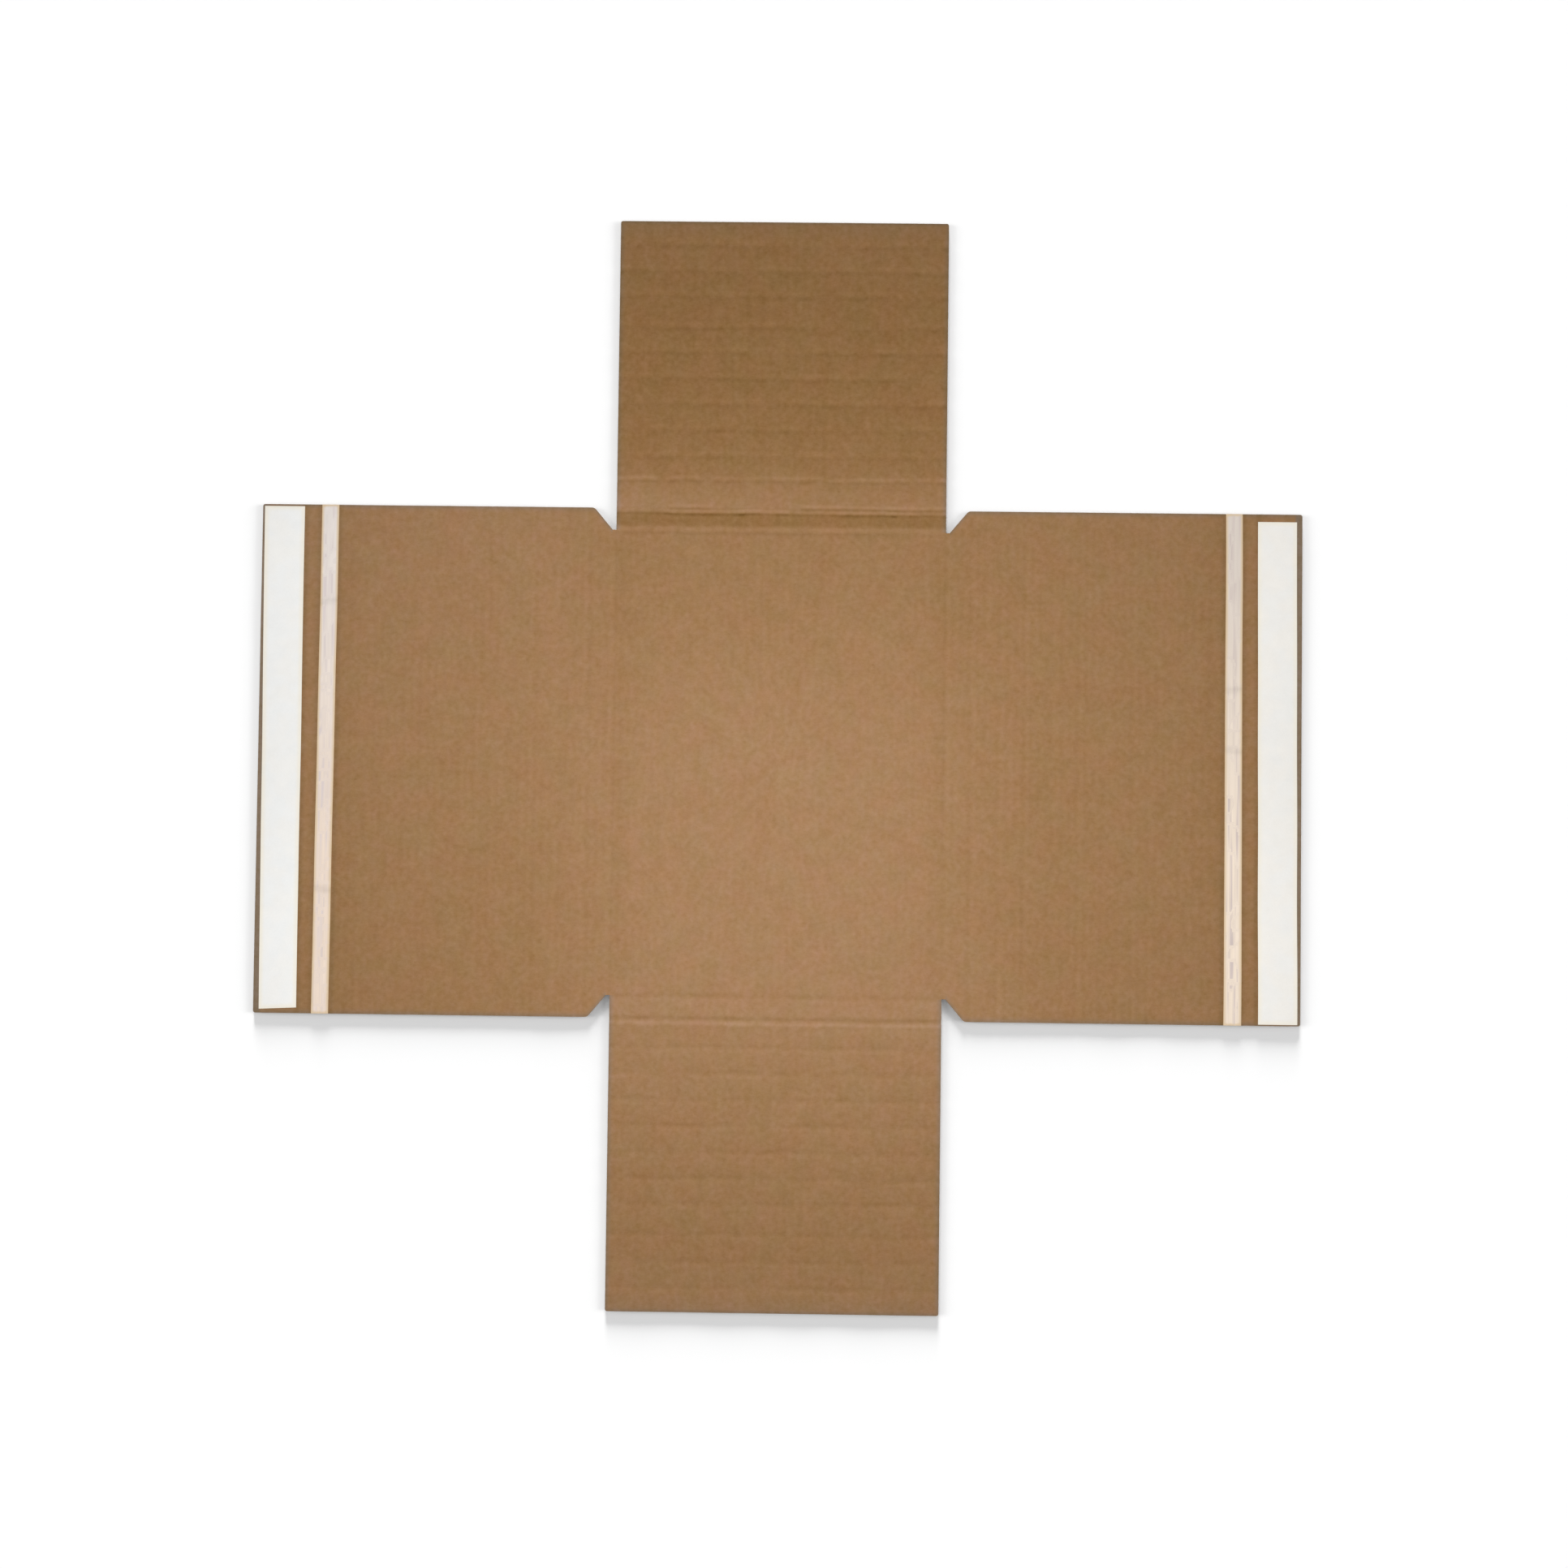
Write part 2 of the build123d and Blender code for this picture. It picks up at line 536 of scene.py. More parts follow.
    def flute_sag(self, x: np.ndarray, y: np.ndarray, phase: float) -> np.ndarray:
        """How far a liner sags between the flute crowns that carry it, from 0 to about 1."""
        life = np.clip(1.0 + self.sag_unevenness * self.flute_life.at(x, y), *self.sag_limits)
        return life * (1.0 - np.cos(2.0 * math.pi * x / self.plan.pitch + phase)) / 2.0

    def top(self, x: np.ndarray, y: np.ndarray) -> np.ndarray:
        """Height of the inner face, which is the upper one."""
        height = self.plan.thickness - self.sag * self.flute_sag(x, y, 0.0)
        height += self.swell * self.swelling.at(x, y)
        for line in self.near(x, y):
            height += line.relief(x, y)
        on_flap = (np.abs(y) - self.plan.half_length) / self.roll_start + (np.abs(x) > self.plan.foot)
        rolled = hump(self.plan.edge_distance(x, y), self.edge_reach)
        return height - self.edge_roll * step_up(on_flap) * rolled

    def bottom(self, x: np.ndarray, y: np.ndarray) -> np.ndarray:
        """Height of the outer face, which lies on the floor along its beads."""
        edge = hump(self.plan.edge_distance(x, y), self.edge_reach)
        rolled = self.under_roll_share * self.edge_roll * edge
        level = self.bead_height * (1.0 - self.beads(x, y)) + self.sag * self.flute_sag(x, y, math.pi)
        return np.maximum(level + rolled, 0.0)

    def beads(self, x: np.ndarray, y: np.ndarray) -> np.ndarray:
        """Share from 0 to 1 of the beads that the lines raise on the outer face."""
        share = np.zeros(np.broadcast_shapes(np.shape(x), np.shape(y)))
        for line in self.near(x, y):
            share = np.maximum(share, line.bead(x, y) * min(1.0, line.depth / self.full_bead_depth))
        return share


@dataclass
class SheetTone:
    """Lightness of both faces beyond their grain as a change about zero, painted light and shade in it, and
    the wear of their fibres.
    """

    relief: SheetRelief
    # Painted light and painted shade of the washboard over the flutes.
    flute_painted_shading: float = 0.007
    # Painted shade on the strip beyond the top crease, painted light on the stretch between its first two
    # scores.
    spine: Span = Span(0.16, 0.9, 8.4, 2.2, 1.0)
    rise: Span = Span(0.09, 9.5, 22.5, 1.5, 1.5)
    rise_loss: float = 0.75
    rise_tilt: float = 150.0
    low_rise_share: float = 0.12
    # Painted shadow along the edges of the strips, darker and a little greyer.
    strip_painted_shadow: float = 0.13
    strip_reach: float = 1.3
    strip_edges: tuple[float, ...] = (215.4, 208.8, 199.9)
    strip_shadow_greying: float = 0.2
    # Painted light falloff over the sheet, with painted shade beside the side creases and inside the tapes.
    base_cast: Fade = Fade(0.1, 0.0, 90.0)
    base_side: Fade = Fade(1.0, 60.0, 60.0)
    left_cast: Fade = Fade(0.07, 50.0, 75.0)
    left_tilt: float = 180.0
    right_cast: Fade = Fade(0.1, 50.0, 75.0)
    hinge_shade: Band = Band(0.035, 71.0, 4.0)
    tape_shade: Band = Band(0.03, 195.0, 5.0)
    side_end: Fade = Fade(1.0, -6.0, 6.0)
    top_cast: Fade = Fade(0.155, 0.0, 50.0)
    top_ease: Fade = Fade(0.07, 103.0, 38.0)
    bottom_step: Fade = Fade(0.07, 8.0, 5.0)
    bottom_cast: Fade = Fade(0.07, 20.0, 80.0)
    bottom_ease: Fade = Fade(0.05, 110.0, 30.0)
    bottom_lift: Fade = Fade(0.03, 0.0, 1.5)
    edge_shade: float = 0.05
    edge_reach: float = 0.9
    edge_wear: float = 0.6
    wear_reach: float = 1.5
    rim_wear: float = 0.9
    rim_from: float = 3.6
    bead_rub: float = 0.05

    def over_end(self, x: np.ndarray) -> np.ndarray:
        """Whether each place lies between the two sides of the base, in line with the end flaps."""
        return np.abs(x) < self.relief.plan.half_width

    def painted_falloff(self, x: np.ndarray, y: np.ndarray) -> np.ndarray:
        """Painted light falloff: slow darkening towards the top end of the base and out along each flap,
        with painted shade beside the side creases and inside the tapes.
        """
        out = np.abs(x)
        beyond = np.abs(y) - self.relief.plan.half_length
        base = self.base_cast.at(y) * (1.0 - self.base_side.at(out))
        left = self.left_cast.at(out) * (1.0 - y / self.left_tilt)
        side = np.where(x > 0.0, self.right_cast.at(out), left)
        side += self.hinge_shade.at(out) + self.tape_shade.at(out)
        side *= np.where(self.over_end(x), 1.0 - self.side_end.at(beyond), 1.0)
        top = self.top_cast.at(beyond) - self.top_ease.at(beyond)
        bottom = self.bottom_step.at(beyond) + self.bottom_cast.at(beyond)
        bottom -= self.bottom_ease.at(beyond) + self.bottom_lift.at(beyond)
        return base + side + np.where(self.over_end(x), np.where(y > 0.0, top, bottom), 0.0)

    def beside_crease(self, x: np.ndarray, y: np.ndarray) -> np.ndarray:
        """Darker strip beyond the top crease as painted shade, and paler stretch between two scores of each
        end flap as painted light.
        """
        half_length = self.relief.plan.half_length
        beyond = np.abs(y) - half_length
        share_out = np.clip((beyond - self.rise.low) / (self.rise.high - self.rise.low), 0.0, 1.0)
        share = np.where(y > 0.0, 1.0 - x / self.rise_tilt, self.low_rise_share)
        # Painted light between the scores, fading further out, weaker at the bottom end and towards one
        # side.
        paler = share * self.rise.at(beyond) * (1.0 - self.rise_loss * share_out)
        return np.where(self.over_end(x), paler - self.spine.at(y - half_length), 0.0)

    def beside_strips(self, x: np.ndarray) -> np.ndarray:
        """Share from 0 to 1 of the painted shadow along the edges of the seal strip and of the tear tape."""
        out = np.abs(x)
        return sum(hump(out - edge, self.strip_reach) for edge in self.strip_edges)

    def wear(self, x: np.ndarray, y: np.ndarray) -> np.ndarray:
        """Share of greyed fibres: high at a cut edge and outside a seal strip, slight beside the strips,
        where it greys their painted shadow.
        """
        plan = self.relief.plan
        edge = self.edge_wear * hump(plan.edge_distance(x, y), self.wear_reach)
        rim = self.rim_wear * step_up(np.abs(x) - plan.cut_edge + self.rim_from)
        return np.maximum(np.maximum(edge, rim), self.strip_shadow_greying * self.beside_strips(x))

    def flutes(self, x: np.ndarray, y: np.ndarray, phase: float) -> np.ndarray:
        """Faint stripes in step with the flutes, lighter over their crowns and darker where the liner sags:
        painted light and painted shade of the washboard.
        """
        return self.flute_painted_shading * (1.0 - 2.0 * self.relief.flute_sag(x, y, phase))

    def edge(self, x: np.ndarray, y: np.ndarray) -> np.ndarray:
        """Darker rim along the cut edges."""
        return self.edge_shade * hump(self.relief.plan.edge_distance(x, y), self.edge_reach)

    def inner(self, x: np.ndarray, y: np.ndarray) -> np.ndarray:
        """Change over the inner face, which is the upper one, with its painted light and painted shade."""
        # Painted light and painted shade: washboard stripes, the crease strips and the falloff over the
        # sheet.
        change = self.flutes(x, y, 0.0) + self.beside_crease(x, y) - self.painted_falloff(x, y)
        # Painted shadow along the strips.
        change -= self.edge(x, y) + self.strip_painted_shadow * self.beside_strips(x)
        for line in self.relief.near(x, y):
            change += line.tone(x, y)
        return change

    def outer(self, x: np.ndarray, y: np.ndarray) -> np.ndarray:
        """Change over the outer face, which is the lower one."""
        return self.flutes(x, y, math.pi) + self.bead_rub * self.relief.beads(x, y) - self.edge(x, y)


@dataclass
class Patch:
    """Grid of places on the sheet that a piece of board is made over.

    Every face grid uses all columns and rows. The hidden side of a slab uses only the marked ones.
    """

    x: np.ndarray
    y: np.ndarray
    column_marks: np.ndarray
    row_marks: np.ndarray
    kept: np.ndarray

    @classmethod
    def whole(
        cls, x: np.ndarray, y: np.ndarray, column_marks: np.ndarray, row_marks: np.ndarray
    ) -> "Patch":
        """Grid with every cell kept."""
        kept = np.ones((len(row_marks) - 1, len(column_marks) - 1), bool)
        return cls(x, y, column_marks, row_marks, kept)


class Shell:
    """Points and faces of one piece, gathered slab by slab."""

    def __init__(self) -> None:
        """Starts with nothing in it."""
        self.points: list[np.ndarray] = []
        self.faces: list[list[int]] = []
        self.layers: list[int] = []
        self.smooth: list[bool] = []
        self.traits: list[dict[Trait, np.ndarray]] = []
        self.count = 0

    def add_points(
        self, x: np.ndarray, y: np.ndarray, z: np.ndarray, traits: dict[Trait, np.ndarray]
    ) -> np.ndarray:
        """Adds a grid of points.

        Args:
            x: X of each point.
            y: Y of each point.
            z: Z of each point.
            traits: Values stored with each point. A trait that is left out is zero.

        Returns:
            The number of each point, in the grid's own shape.
        """
        numbers = self.count + np.arange(x.size).reshape(x.shape)
        self.points.append(np.column_stack((x.ravel(), y.ravel(), z.ravel())))
        self.traits.append({trait: value.ravel() for trait, value in traits.items()})
        self.count += x.size
        return numbers

    def add_faces(self, faces: list[list[int]], layer: Layer, smooth: bool, flipped: bool) -> None:
        """Adds faces of one layer, turned over if they are flipped."""
        self.faces += [face[::-1] for face in faces] if flipped else faces
        self.layers += [int(layer)] * len(faces)
        self.smooth += [smooth] * len(faces)

    def add_slab(
        self, patch: Patch, face: np.ndarray, back: np.ndarray, face_up: bool,
        layers: tuple[Layer, Layer, Layer], traits: dict[Trait, np.ndarray] | None = None,
    ) -> None:
        """Adds a closed slab: a fine face, a coarse back and the walls between them.

        Args:
            patch: Grid that the slab is made over.
            face: Height of the face at every place of the grid.
            back: Height of the back at every place of the grid.
            face_up: Whether the face looks up.
            layers: Layers of the face, the walls and the back.
            traits: Values stored with the points of the face.
        """
        marks = np.ix_(patch.row_marks, patch.column_marks)
        fine = self.add_points(patch.x, patch.y, face, traits or {})
        coarse = self.add_points(patch.x[marks], patch.y[marks], back[marks], {})
        flipped = not face_up
        rows_kept = np.repeat(patch.kept, np.diff(patch.row_marks), 0)
        on_face = np.repeat(rows_kept, np.diff(patch.column_marks), 1)
        self.add_faces(cells(fine, on_face).tolist(), layers[0], True, flipped)
        self.add_faces(cells(coarse, patch.kept)[:, ::-1].tolist(), layers[2], True, flipped)
        self.add_faces(list(walls(patch, fine, coarse)), layers[1], False, flipped)

    def to_object(self, name: str, materials: list[bpy.types.Material]) -> bpy.types.Object:
        """Makes the piece, in metres, with its rest places stored for the materials.

        Args:
            name: Name of the piece.
            materials: One material for each layer.

        Returns:
            The new object, linked to the scene.
        """
        points = np.concatenate(self.points)
        used = np.zeros(len(points), bool)
        used[np.fromiter((corner for face in self.faces for corner in face), int)] = True
        renumber = np.cumsum(used) - 1
        numbers = renumber.tolist()
        mesh = bpy.data.meshes.new(name)
        faces = [[numbers[corner] for corner in face] for face in self.faces]
        mesh.from_pydata((points[used] * MILLIMETRE).tolist(), [], faces)
        mesh.polygons.foreach_set("material_index", self.layers)
        mesh.polygons.foreach_set("use_smooth", self.smooth)
        self.sharpen(mesh)
        self.store(mesh, points, used)
        for material in materials:
            mesh.materials.append(material)
        mesh.update()
        return add_object(name, mesh)

    def sharpen(self, mesh: bpy.types.Mesh) -> None:
        """Keeps the walls crisp against the smooth faces beside them."""
        edges = np.empty(len(mesh.loops), np.int32)
        mesh.loops.foreach_get("edge_index", edges)
        flat = ~np.repeat(self.smooth, [len(face) for face in self.faces])
        sharp = np.zeros(len(mesh.edges), bool)
        sharp[edges[flat]] = True
        mesh.edges.foreach_set("use_edge_sharp", sharp)

    def store(self, mesh: bpy.types.Mesh, points: np.ndarray, used: np.ndarray) -> None:
        """Stores the rest place and the traits of the used points, for the materials to read."""
        place = points[used].copy()
        middle = (place[:, 2].min() + place[:, 2].max()) / 2.0
        place[:, 2] += np.where(place[:, 2] < middle, -UNDERSIDE_SHIFT, 0.0)
        stored = mesh.attributes.new(Trait.PLACE.value, "FLOAT_VECTOR", "POINT")
        stored.data.foreach_set("vector", place.astype(np.float32).ravel())
        kinds = {trait for traits in self.traits for trait in traits}
        for trait in sorted(kinds, key=lambda kind: kind.value):
            grids = [given.get(trait, np.zeros(len(grid))) for given, grid in zip(self.traits, self.points)]
            stored = mesh.attributes.new(trait.value, "FLOAT", "POINT")
            stored.data.foreach_set("value", np.concatenate(grids)[used].astype(np.float32))


def cells(numbers: np.ndarray, kept: np.ndarray) -> np.ndarray:
    """Four corners of each kept cell of a grid of point numbers, counter-clockwise from above."""
    corners = np.stack((numbers[:-1, :-1], numbers[:-1, 1:], numbers[1:, 1:], numbers[1:, :-1]), axis=-1)
    return corners[kept]


def walls(patch: Patch, fine: np.ndarray, coarse: np.ndarray) -> Iterable[list[int]]:
    """Walls round the kept cells, from the coarse back up to the fine face.

    Args:
        patch: Grid that the slab is made over.
        fine: Point numbers of the face.
        coarse: Point numbers of the back.

    Yields:
        The corners of one wall, outside first for a face that looks up.
    """
    kept, rows, columns = np.pad(patch.kept, 1), patch.row_marks, patch.column_marks
    yield from walls_in_line(kept, rows, columns, fine, coarse, False)
    yield from walls_in_line(kept.T, columns, rows, fine.T, coarse.T, True)


def walls_in_line(
    kept: np.ndarray, rows: np.ndarray, columns: np.ndarray,
    fine: np.ndarray, coarse: np.ndarray, turned: bool,
) -> Iterable[list[int]]:
    """Walls that run along the rows of a grid, wherever a kept cell lies beside one that is left out.

    Args:
        kept: Whether each cell is kept, with a rim of cells left out.
        rows: Rows of the fine grid that the coarse one shares.
        columns: Columns of the fine grid that the coarse one shares.
        fine: Point numbers of the face.
        coarse: Point numbers of the back.
        turned: Whether the grid is given with its rows and columns exchanged.

    Yields:
        The corners of one wall.
    """
    for j in range(len(rows)):
        for i in range(len(columns) - 1):
            below, above = bool(kept[j, i + 1]), bool(kept[j + 1, i + 1])
            if below == above:
                continue
            start, end = int(coarse[j, i]), int(coarse[j, i + 1])
            chain = fine[rows[j], columns[i]:columns[i + 1] + 1].tolist()
            yield [start, end] + chain[::-1] if below == turned else [end, start] + chain


@dataclass(frozen=True)
class Grain:
    """One kind of noise in a surface: its share of the shade, its size in millimetres and how it runs."""

    share: float
    size: float
    detail: float = 2.0
    stretch: Triple = (1.0, 1.0, 1.0)
    turn: float = 0.0
    distortion: float = 0.0


class Recipe:
    """Short way to add and join the nodes of one material."""

    def __init__(self, name: str) -> None:
        """Starts a material with a plain shader."""
        self.material = bpy.data.materials.new(name)
        self.material.use_nodes = True
        self.tree = self.material.node_tree
        self.shader = self.tree.nodes["Principled BSDF"]

    def feed(self, taker: Socket, value: object) -> None:
        """Joins another node's output to an input, or sets a plain value there."""
        if isinstance(value, Socket):
            self.tree.links.new(value, taker)
        else:
            taker.default_value = value

    def add(self, kind: str, inputs: dict | None = None, **settings: object) -> bpy.types.Node:
        """Adds a node.

        Args:
            kind: Type name of the node.
            inputs: Value or socket for each named or numbered input.
            **settings: Properties of the node.

        Returns:
            The new node.
        """
        node = self.tree.nodes.new(kind)
        for name, value in settings.items():
            setattr(node, name, value)
        for name, value in (inputs or {}).items():
            self.feed(node.inputs[name], value)
        return node

    def place(self, stretch: Triple = (1.0, 1.0, 1.0), turn: float = 0.0) -> Socket:
        """Rest place on the sheet, in millimetres, stretched and turned about Z."""
        source = self.add("ShaderNodeAttribute", attribute_name=Trait.PLACE.value).outputs["Vector"]
        changes = {"Vector": source, "Scale": stretch, "Rotation": (0.0, 0.0, turn)}
        return self.add("ShaderNodeMapping", changes).outputs["Vector"]

    def trait(self, trait: Trait) -> Socket:
        """Value stored with the points."""
        return self.add("ShaderNodeAttribute", attribute_name=trait.value).outputs["Fac"]

    def noise(self, grain: Grain) -> Socket:
        """Soft noise of one kind of grain."""
        inputs = {
            "Vector": self.place(grain.stretch, grain.turn),
            "Scale": 1.0 / grain.size,
            "Detail": grain.detail,
            "Distortion": grain.distortion,
        }
        return self.add("ShaderNodeTexNoise", inputs).outputs["Fac"]

    def ramp(
        self, value: Socket, low: float, high: float, to_low: float = 0.0, to_high: float = 1.0
    ) -> Socket:
        """Carries a value from one range to another, smoothly and kept inside it.

        Args:
            value: Value to carry.
            low: Start of its own range.
            high: End of its own range.
            to_low: What it becomes at the start.
            to_high: What it becomes at the end.

        Returns:
            The carried value.
        """
        made = self.add(
            "ShaderNodeMapRange",
            {"Value": value, "From Min": low, "From Max": high, "To Min": to_low, "To Max": to_high},
            interpolation_type="SMOOTHSTEP",
        )
        return made.outputs["Result"]

    def math(self, operation: str, *values: Socket | float) -> Socket:
        """Result of one arithmetic step."""
        return self.add("ShaderNodeMath", dict(enumerate(values)), operation=operation).outputs[0]

    def total(
        self, grains: Iterable[Weighted], plain: Iterable[Weighted] = (), start: float = 1.0
    ) -> Socket:
        """Weighted sum of values.

        Args:
            grains: Noises with their weights. Each counts from its mean of one half.
            plain: Other values with their weights. Each counts from zero.
            start: What the sum is with every noise at its mean and the rest at zero.

        Returns:
            The sum.
        """
        grains = list(grains)
        so_far: Socket | float = start - 0.5 * sum(weight for _, weight in grains)
        for value, weight in (*grains, *plain):
            so_far = self.math("MULTIPLY_ADD", value, weight, so_far)
        return so_far

    def mix(
        self, share: Socket, first: Socket | Colour, second: Socket | Colour, blend: str = "MIX"
    ) -> Socket:
        """Mixes two colours.

        Args:
            share: Share of the second colour.
            first: Colour that is left at no share.
            second: Colour that is laid over it.
            blend: Way in which it is laid.

        Returns:
            The mixed colour.
        """
        made = self.add("ShaderNodeMix", data_type="RGBA", blend_type=blend)
        for name, value in (("Factor", share), ("A", first), ("B", second)):
            self.feed(next(taker for taker in made.inputs if taker.name == name and taker.enabled), value)
        return next(giver for giver in made.outputs if giver.enabled)

    def along(self) -> Socket:
        """Place along the flutes, in millimetres."""
        return self.add("ShaderNodeSeparateXYZ", {0: self.place()}).outputs["Y"]

    def painted_middle_dip(self, middle: float) -> Socket:
        """Painted shade along a strip, against the key lamp's brighter middle: a given factor at its middle,
        rising to one at both ends.
        """
        return self.ramp(self.math("ABSOLUTE", self.along()), 0.0, STRIP_REACH, middle, 1.0)

    def shaded(self, tint: Socket, shade: Socket) -> Socket:
        """Colour times a shade."""
        scaled = self.add("ShaderNodeVectorMath", {0: tint, "Scale": shade}, operation="SCALE")
        return scaled.outputs["Vector"]

    def steeped(self, tint: Socket, shade: Socket, powers: Triple) -> Socket:
        """Colour times a shade that is raised to a power of its own for red, green and blue."""
        parts = [self.math("POWER", shade, power) for power in powers]
        joined = self.add("ShaderNodeCombineXYZ", dict(zip("XYZ", parts))).outputs["Vector"]
        return self.add("ShaderNodeVectorMath", {0: tint, 1: joined}, operation="MULTIPLY").outputs["Vector"]

    def dress(
        self, tint: Socket | Colour, roughness: float, specular: float,
        height: Socket | None = None, depth: float = 0.0,
    ) -> bpy.types.Material:
        """Joins the finish to the shader.

        Args:
            tint: Colour of the surface.
            roughness: Roughness of the surface.
            specular: Specular level of the surface.
            height: Fine height for the bump, if any.
            depth: Depth of the bump in millimetres.

        Returns:
            The finished material.
        """
        looks = {"Base Color": tint, "Roughness": roughness, "Specular IOR Level": specular}
        if height is not None:
            inputs = {"Height": height, "Distance": depth * MILLIMETRE, "Strength": 1.0}
            looks["Normal"] = self.add("ShaderNodeBump", inputs).outputs["Normal"]
        for name, value in looks.items():
            self.feed(self.shader.inputs[name], value)
        return self.material


@dataclass(frozen=True)
class KraftFace:
    """Face of a brown liner: cloudy, flecked with fibres, with faint reddish and olive patches."""

    name: str = "kraft_face"
    levels: Triple = (160.0, 122.0, 85.5)
    # Grey of worn fibres, also of the painted shadow beside the strips.
    worn: Triple = (136.0, 120.0, 106.0)
    grain: Grain = Grain(0.13, 0.5, 3.0)
    mottle: Grain = Grain(0.32, 2.2)
    cloud: Grain = Grain(0.18, 4.6)
    drift: Grain = Grain(0.1, 12.0)
    fleck: Grain = Grain(-0.05, 0.8, 0.0, (0.35, 1.0, 1.0), 0.9)
    fleck_range: Pair = (0.68, 0.8)
    fibre: Grain = Grain(0.065, 0.42, 1.0, (0.22, 1.0, 1.0), distortion=0.6)
    fibre_turns: tuple[float, ...] = (0.25, -0.4, 1.2)
    fibre_height: float = 0.6
    patch: Grain = Grain(1.0, 14.0, 3.0)
    patch_range: Pair = (0.2, 0.8)
    patch_levels: float = 2.2
    yellow: Grain = Grain(1.0, 3.2, 2.0, (1.0, 0.6, 1.0), 0.5)
    yellow_range: Pair = (0.25, 0.75)
    yellow_levels: float = 2.3
    powers: Triple = (0.8, 1.0, 2.0)
    roughness: float = 0.82
    specular: float = 0.25
    bump: float = 0.012

    def tint(self, recipe: Recipe) -> Socket:
        """Colour before its shade: reddish, olive, dull and yellow patches, greyed where it is worn and in
        the painted shadow beside the strips.
        """
        patches = recipe.ramp(recipe.noise(self.patch), *self.patch_range)
        yellows = recipe.ramp(recipe.noise(self.yellow), *self.yellow_range)
        red, green, blue = self.levels
        more, less = self.patch_levels, 0.5 * self.patch_levels
        patched = []
        for level in (blue + self.yellow_levels, blue - self.yellow_levels):
            reddish = colour((red + more, green - less, level))
            olive = colour((red - more, green + less, level))
            patched.append(recipe.mix(patches, reddish, olive))
        return recipe.mix(recipe.trait(Trait.WEAR), recipe.mix(yellows, *patched), colour(self.worn))

    def material(self) -> bpy.types.Material:
        """Makes the material."""
        recipe = Recipe(self.name)
        grain = recipe.noise(self.grain)
        fibres = [recipe.noise(replace(self.fibre, turn=turn)) for turn in self.fibre_turns]
        flecks = recipe.ramp(recipe.noise(self.fleck), *self.fleck_range)
        grains = [(grain, self.grain.share)]
        grains += [(recipe.noise(kind), kind.share) for kind in (self.mottle, self.cloud, self.drift)]
        grains += [(fibre, self.fibre.share) for fibre in fibres]
        # The stored tone brings painted light and painted shade into the shade.
        shade = recipe.total(grains, [(flecks, self.fleck.share), (recipe.trait(Trait.PRESS), 1.0)])
        heights = [(grain, 1.0), *((fibre, self.fibre_height) for fibre in fibres[:2])]
        height = recipe.total(heights, start=0.5)
        tint = recipe.steeped(self.tint(recipe), shade, self.powers)
        return recipe.dress(tint, self.roughness, self.specular, height, self.bump)


@dataclass(frozen=True)
class CutPaper:
    """Raw cut of the board, a little greyer than its face."""

    name: str = "cut_paper"
    levels: Triple = (146.0, 116.0, 88.0)
    dark_share: float = 0.9
    plies: Grain = Grain(0.5, 0.5, 3.0, (0.3, 0.3, 6.0))
    fuzz: Grain = Grain(0.3, 0.3)
    roughness: float = 0.95
    specular: float = 0.1
    bump: float = 0.05

    def material(self) -> bpy.types.Material:
        """Makes the material."""
        recipe = Recipe(self.name)
        fuzz = recipe.noise(self.fuzz)
        shade = recipe.total([(recipe.noise(self.plies), self.plies.share), (fuzz, self.fuzz.share)])
        tint = recipe.mix(fuzz, colour(self.levels), colour(self.levels, self.dark_share))
        return recipe.dress(recipe.shaded(tint, shade), self.roughness, self.specular, fuzz, self.bump)


@dataclass(frozen=True)
class FlutePaper:
    """Fluted paper between the liners."""

    name: str = "flute_paper"
    levels: Triple = (150.0, 116.0, 82.0)
    dark_share: float = 0.93
    cloud: Grain = Grain(0.25, 1.5, 3.0)
    grain: Grain = Grain(0.2, 0.4, 2.0, (1.0, 0.3, 1.0))
    roughness: float = 0.9
    specular: float = 0.15
    bump: float = 0.01

    def material(self) -> bpy.types.Material:
        """Makes the material."""
        recipe = Recipe(self.name)
        cloud, grain = recipe.noise(self.cloud), recipe.noise(self.grain)
        shade = recipe.total([(cloud, self.cloud.share), (grain, self.grain.share)])
        tint = recipe.mix(cloud, colour(self.levels), colour(self.levels, self.dark_share))
        return recipe.dress(recipe.shaded(tint, shade), self.roughness, self.specular, grain, self.bump)


@dataclass(frozen=True)
class ReleasePaper:
    """White coated paper over the adhesive, a little cream towards its rim."""

    name: str
    levels: Triple
    rim: Triple = (253.0, 246.0, 231.0)
    rim_range: Pair = (0.3, 2.6)
    cloud: Grain = Grain(0.07, 5.0, 3.0)
    grain: Grain = Grain(0.05, 0.8)
    blue: Grain = Grain(1.0, 9.0)
    blue_range: Pair = (0.35, 0.65)
    blue_tint: Colour = (0.985, 1.0, 1.02, 1.0)
    # Painted shade at the strip's middle, where the key lamp is brightest.
    middle_shade: float = 0.94
    roughness: float = 0.42
    specular: float = 0.4
    bump: float = 0.004

    def material(self) -> bpy.types.Material:
        """Makes the material."""
        recipe = Recipe(self.name)
        near_rim = recipe.ramp(recipe.trait(Trait.MARGIN), *self.rim_range, 1.0, 0.0)
        tint = recipe.mix(near_rim, colour(self.levels), colour(self.rim))
        bluish = recipe.ramp(recipe.noise(self.blue), *self.blue_range)
        tint = recipe.mix(bluish, tint, self.blue_tint, "MULTIPLY")
        grain = recipe.noise(self.grain)
        shade = recipe.total([(recipe.noise(self.cloud), self.cloud.share), (grain, self.grain.share)])
        tint = recipe.shaded(recipe.shaded(tint, shade), recipe.painted_middle_dip(self.middle_shade))
        return recipe.dress(tint, self.roughness, self.specular, grain, self.bump)


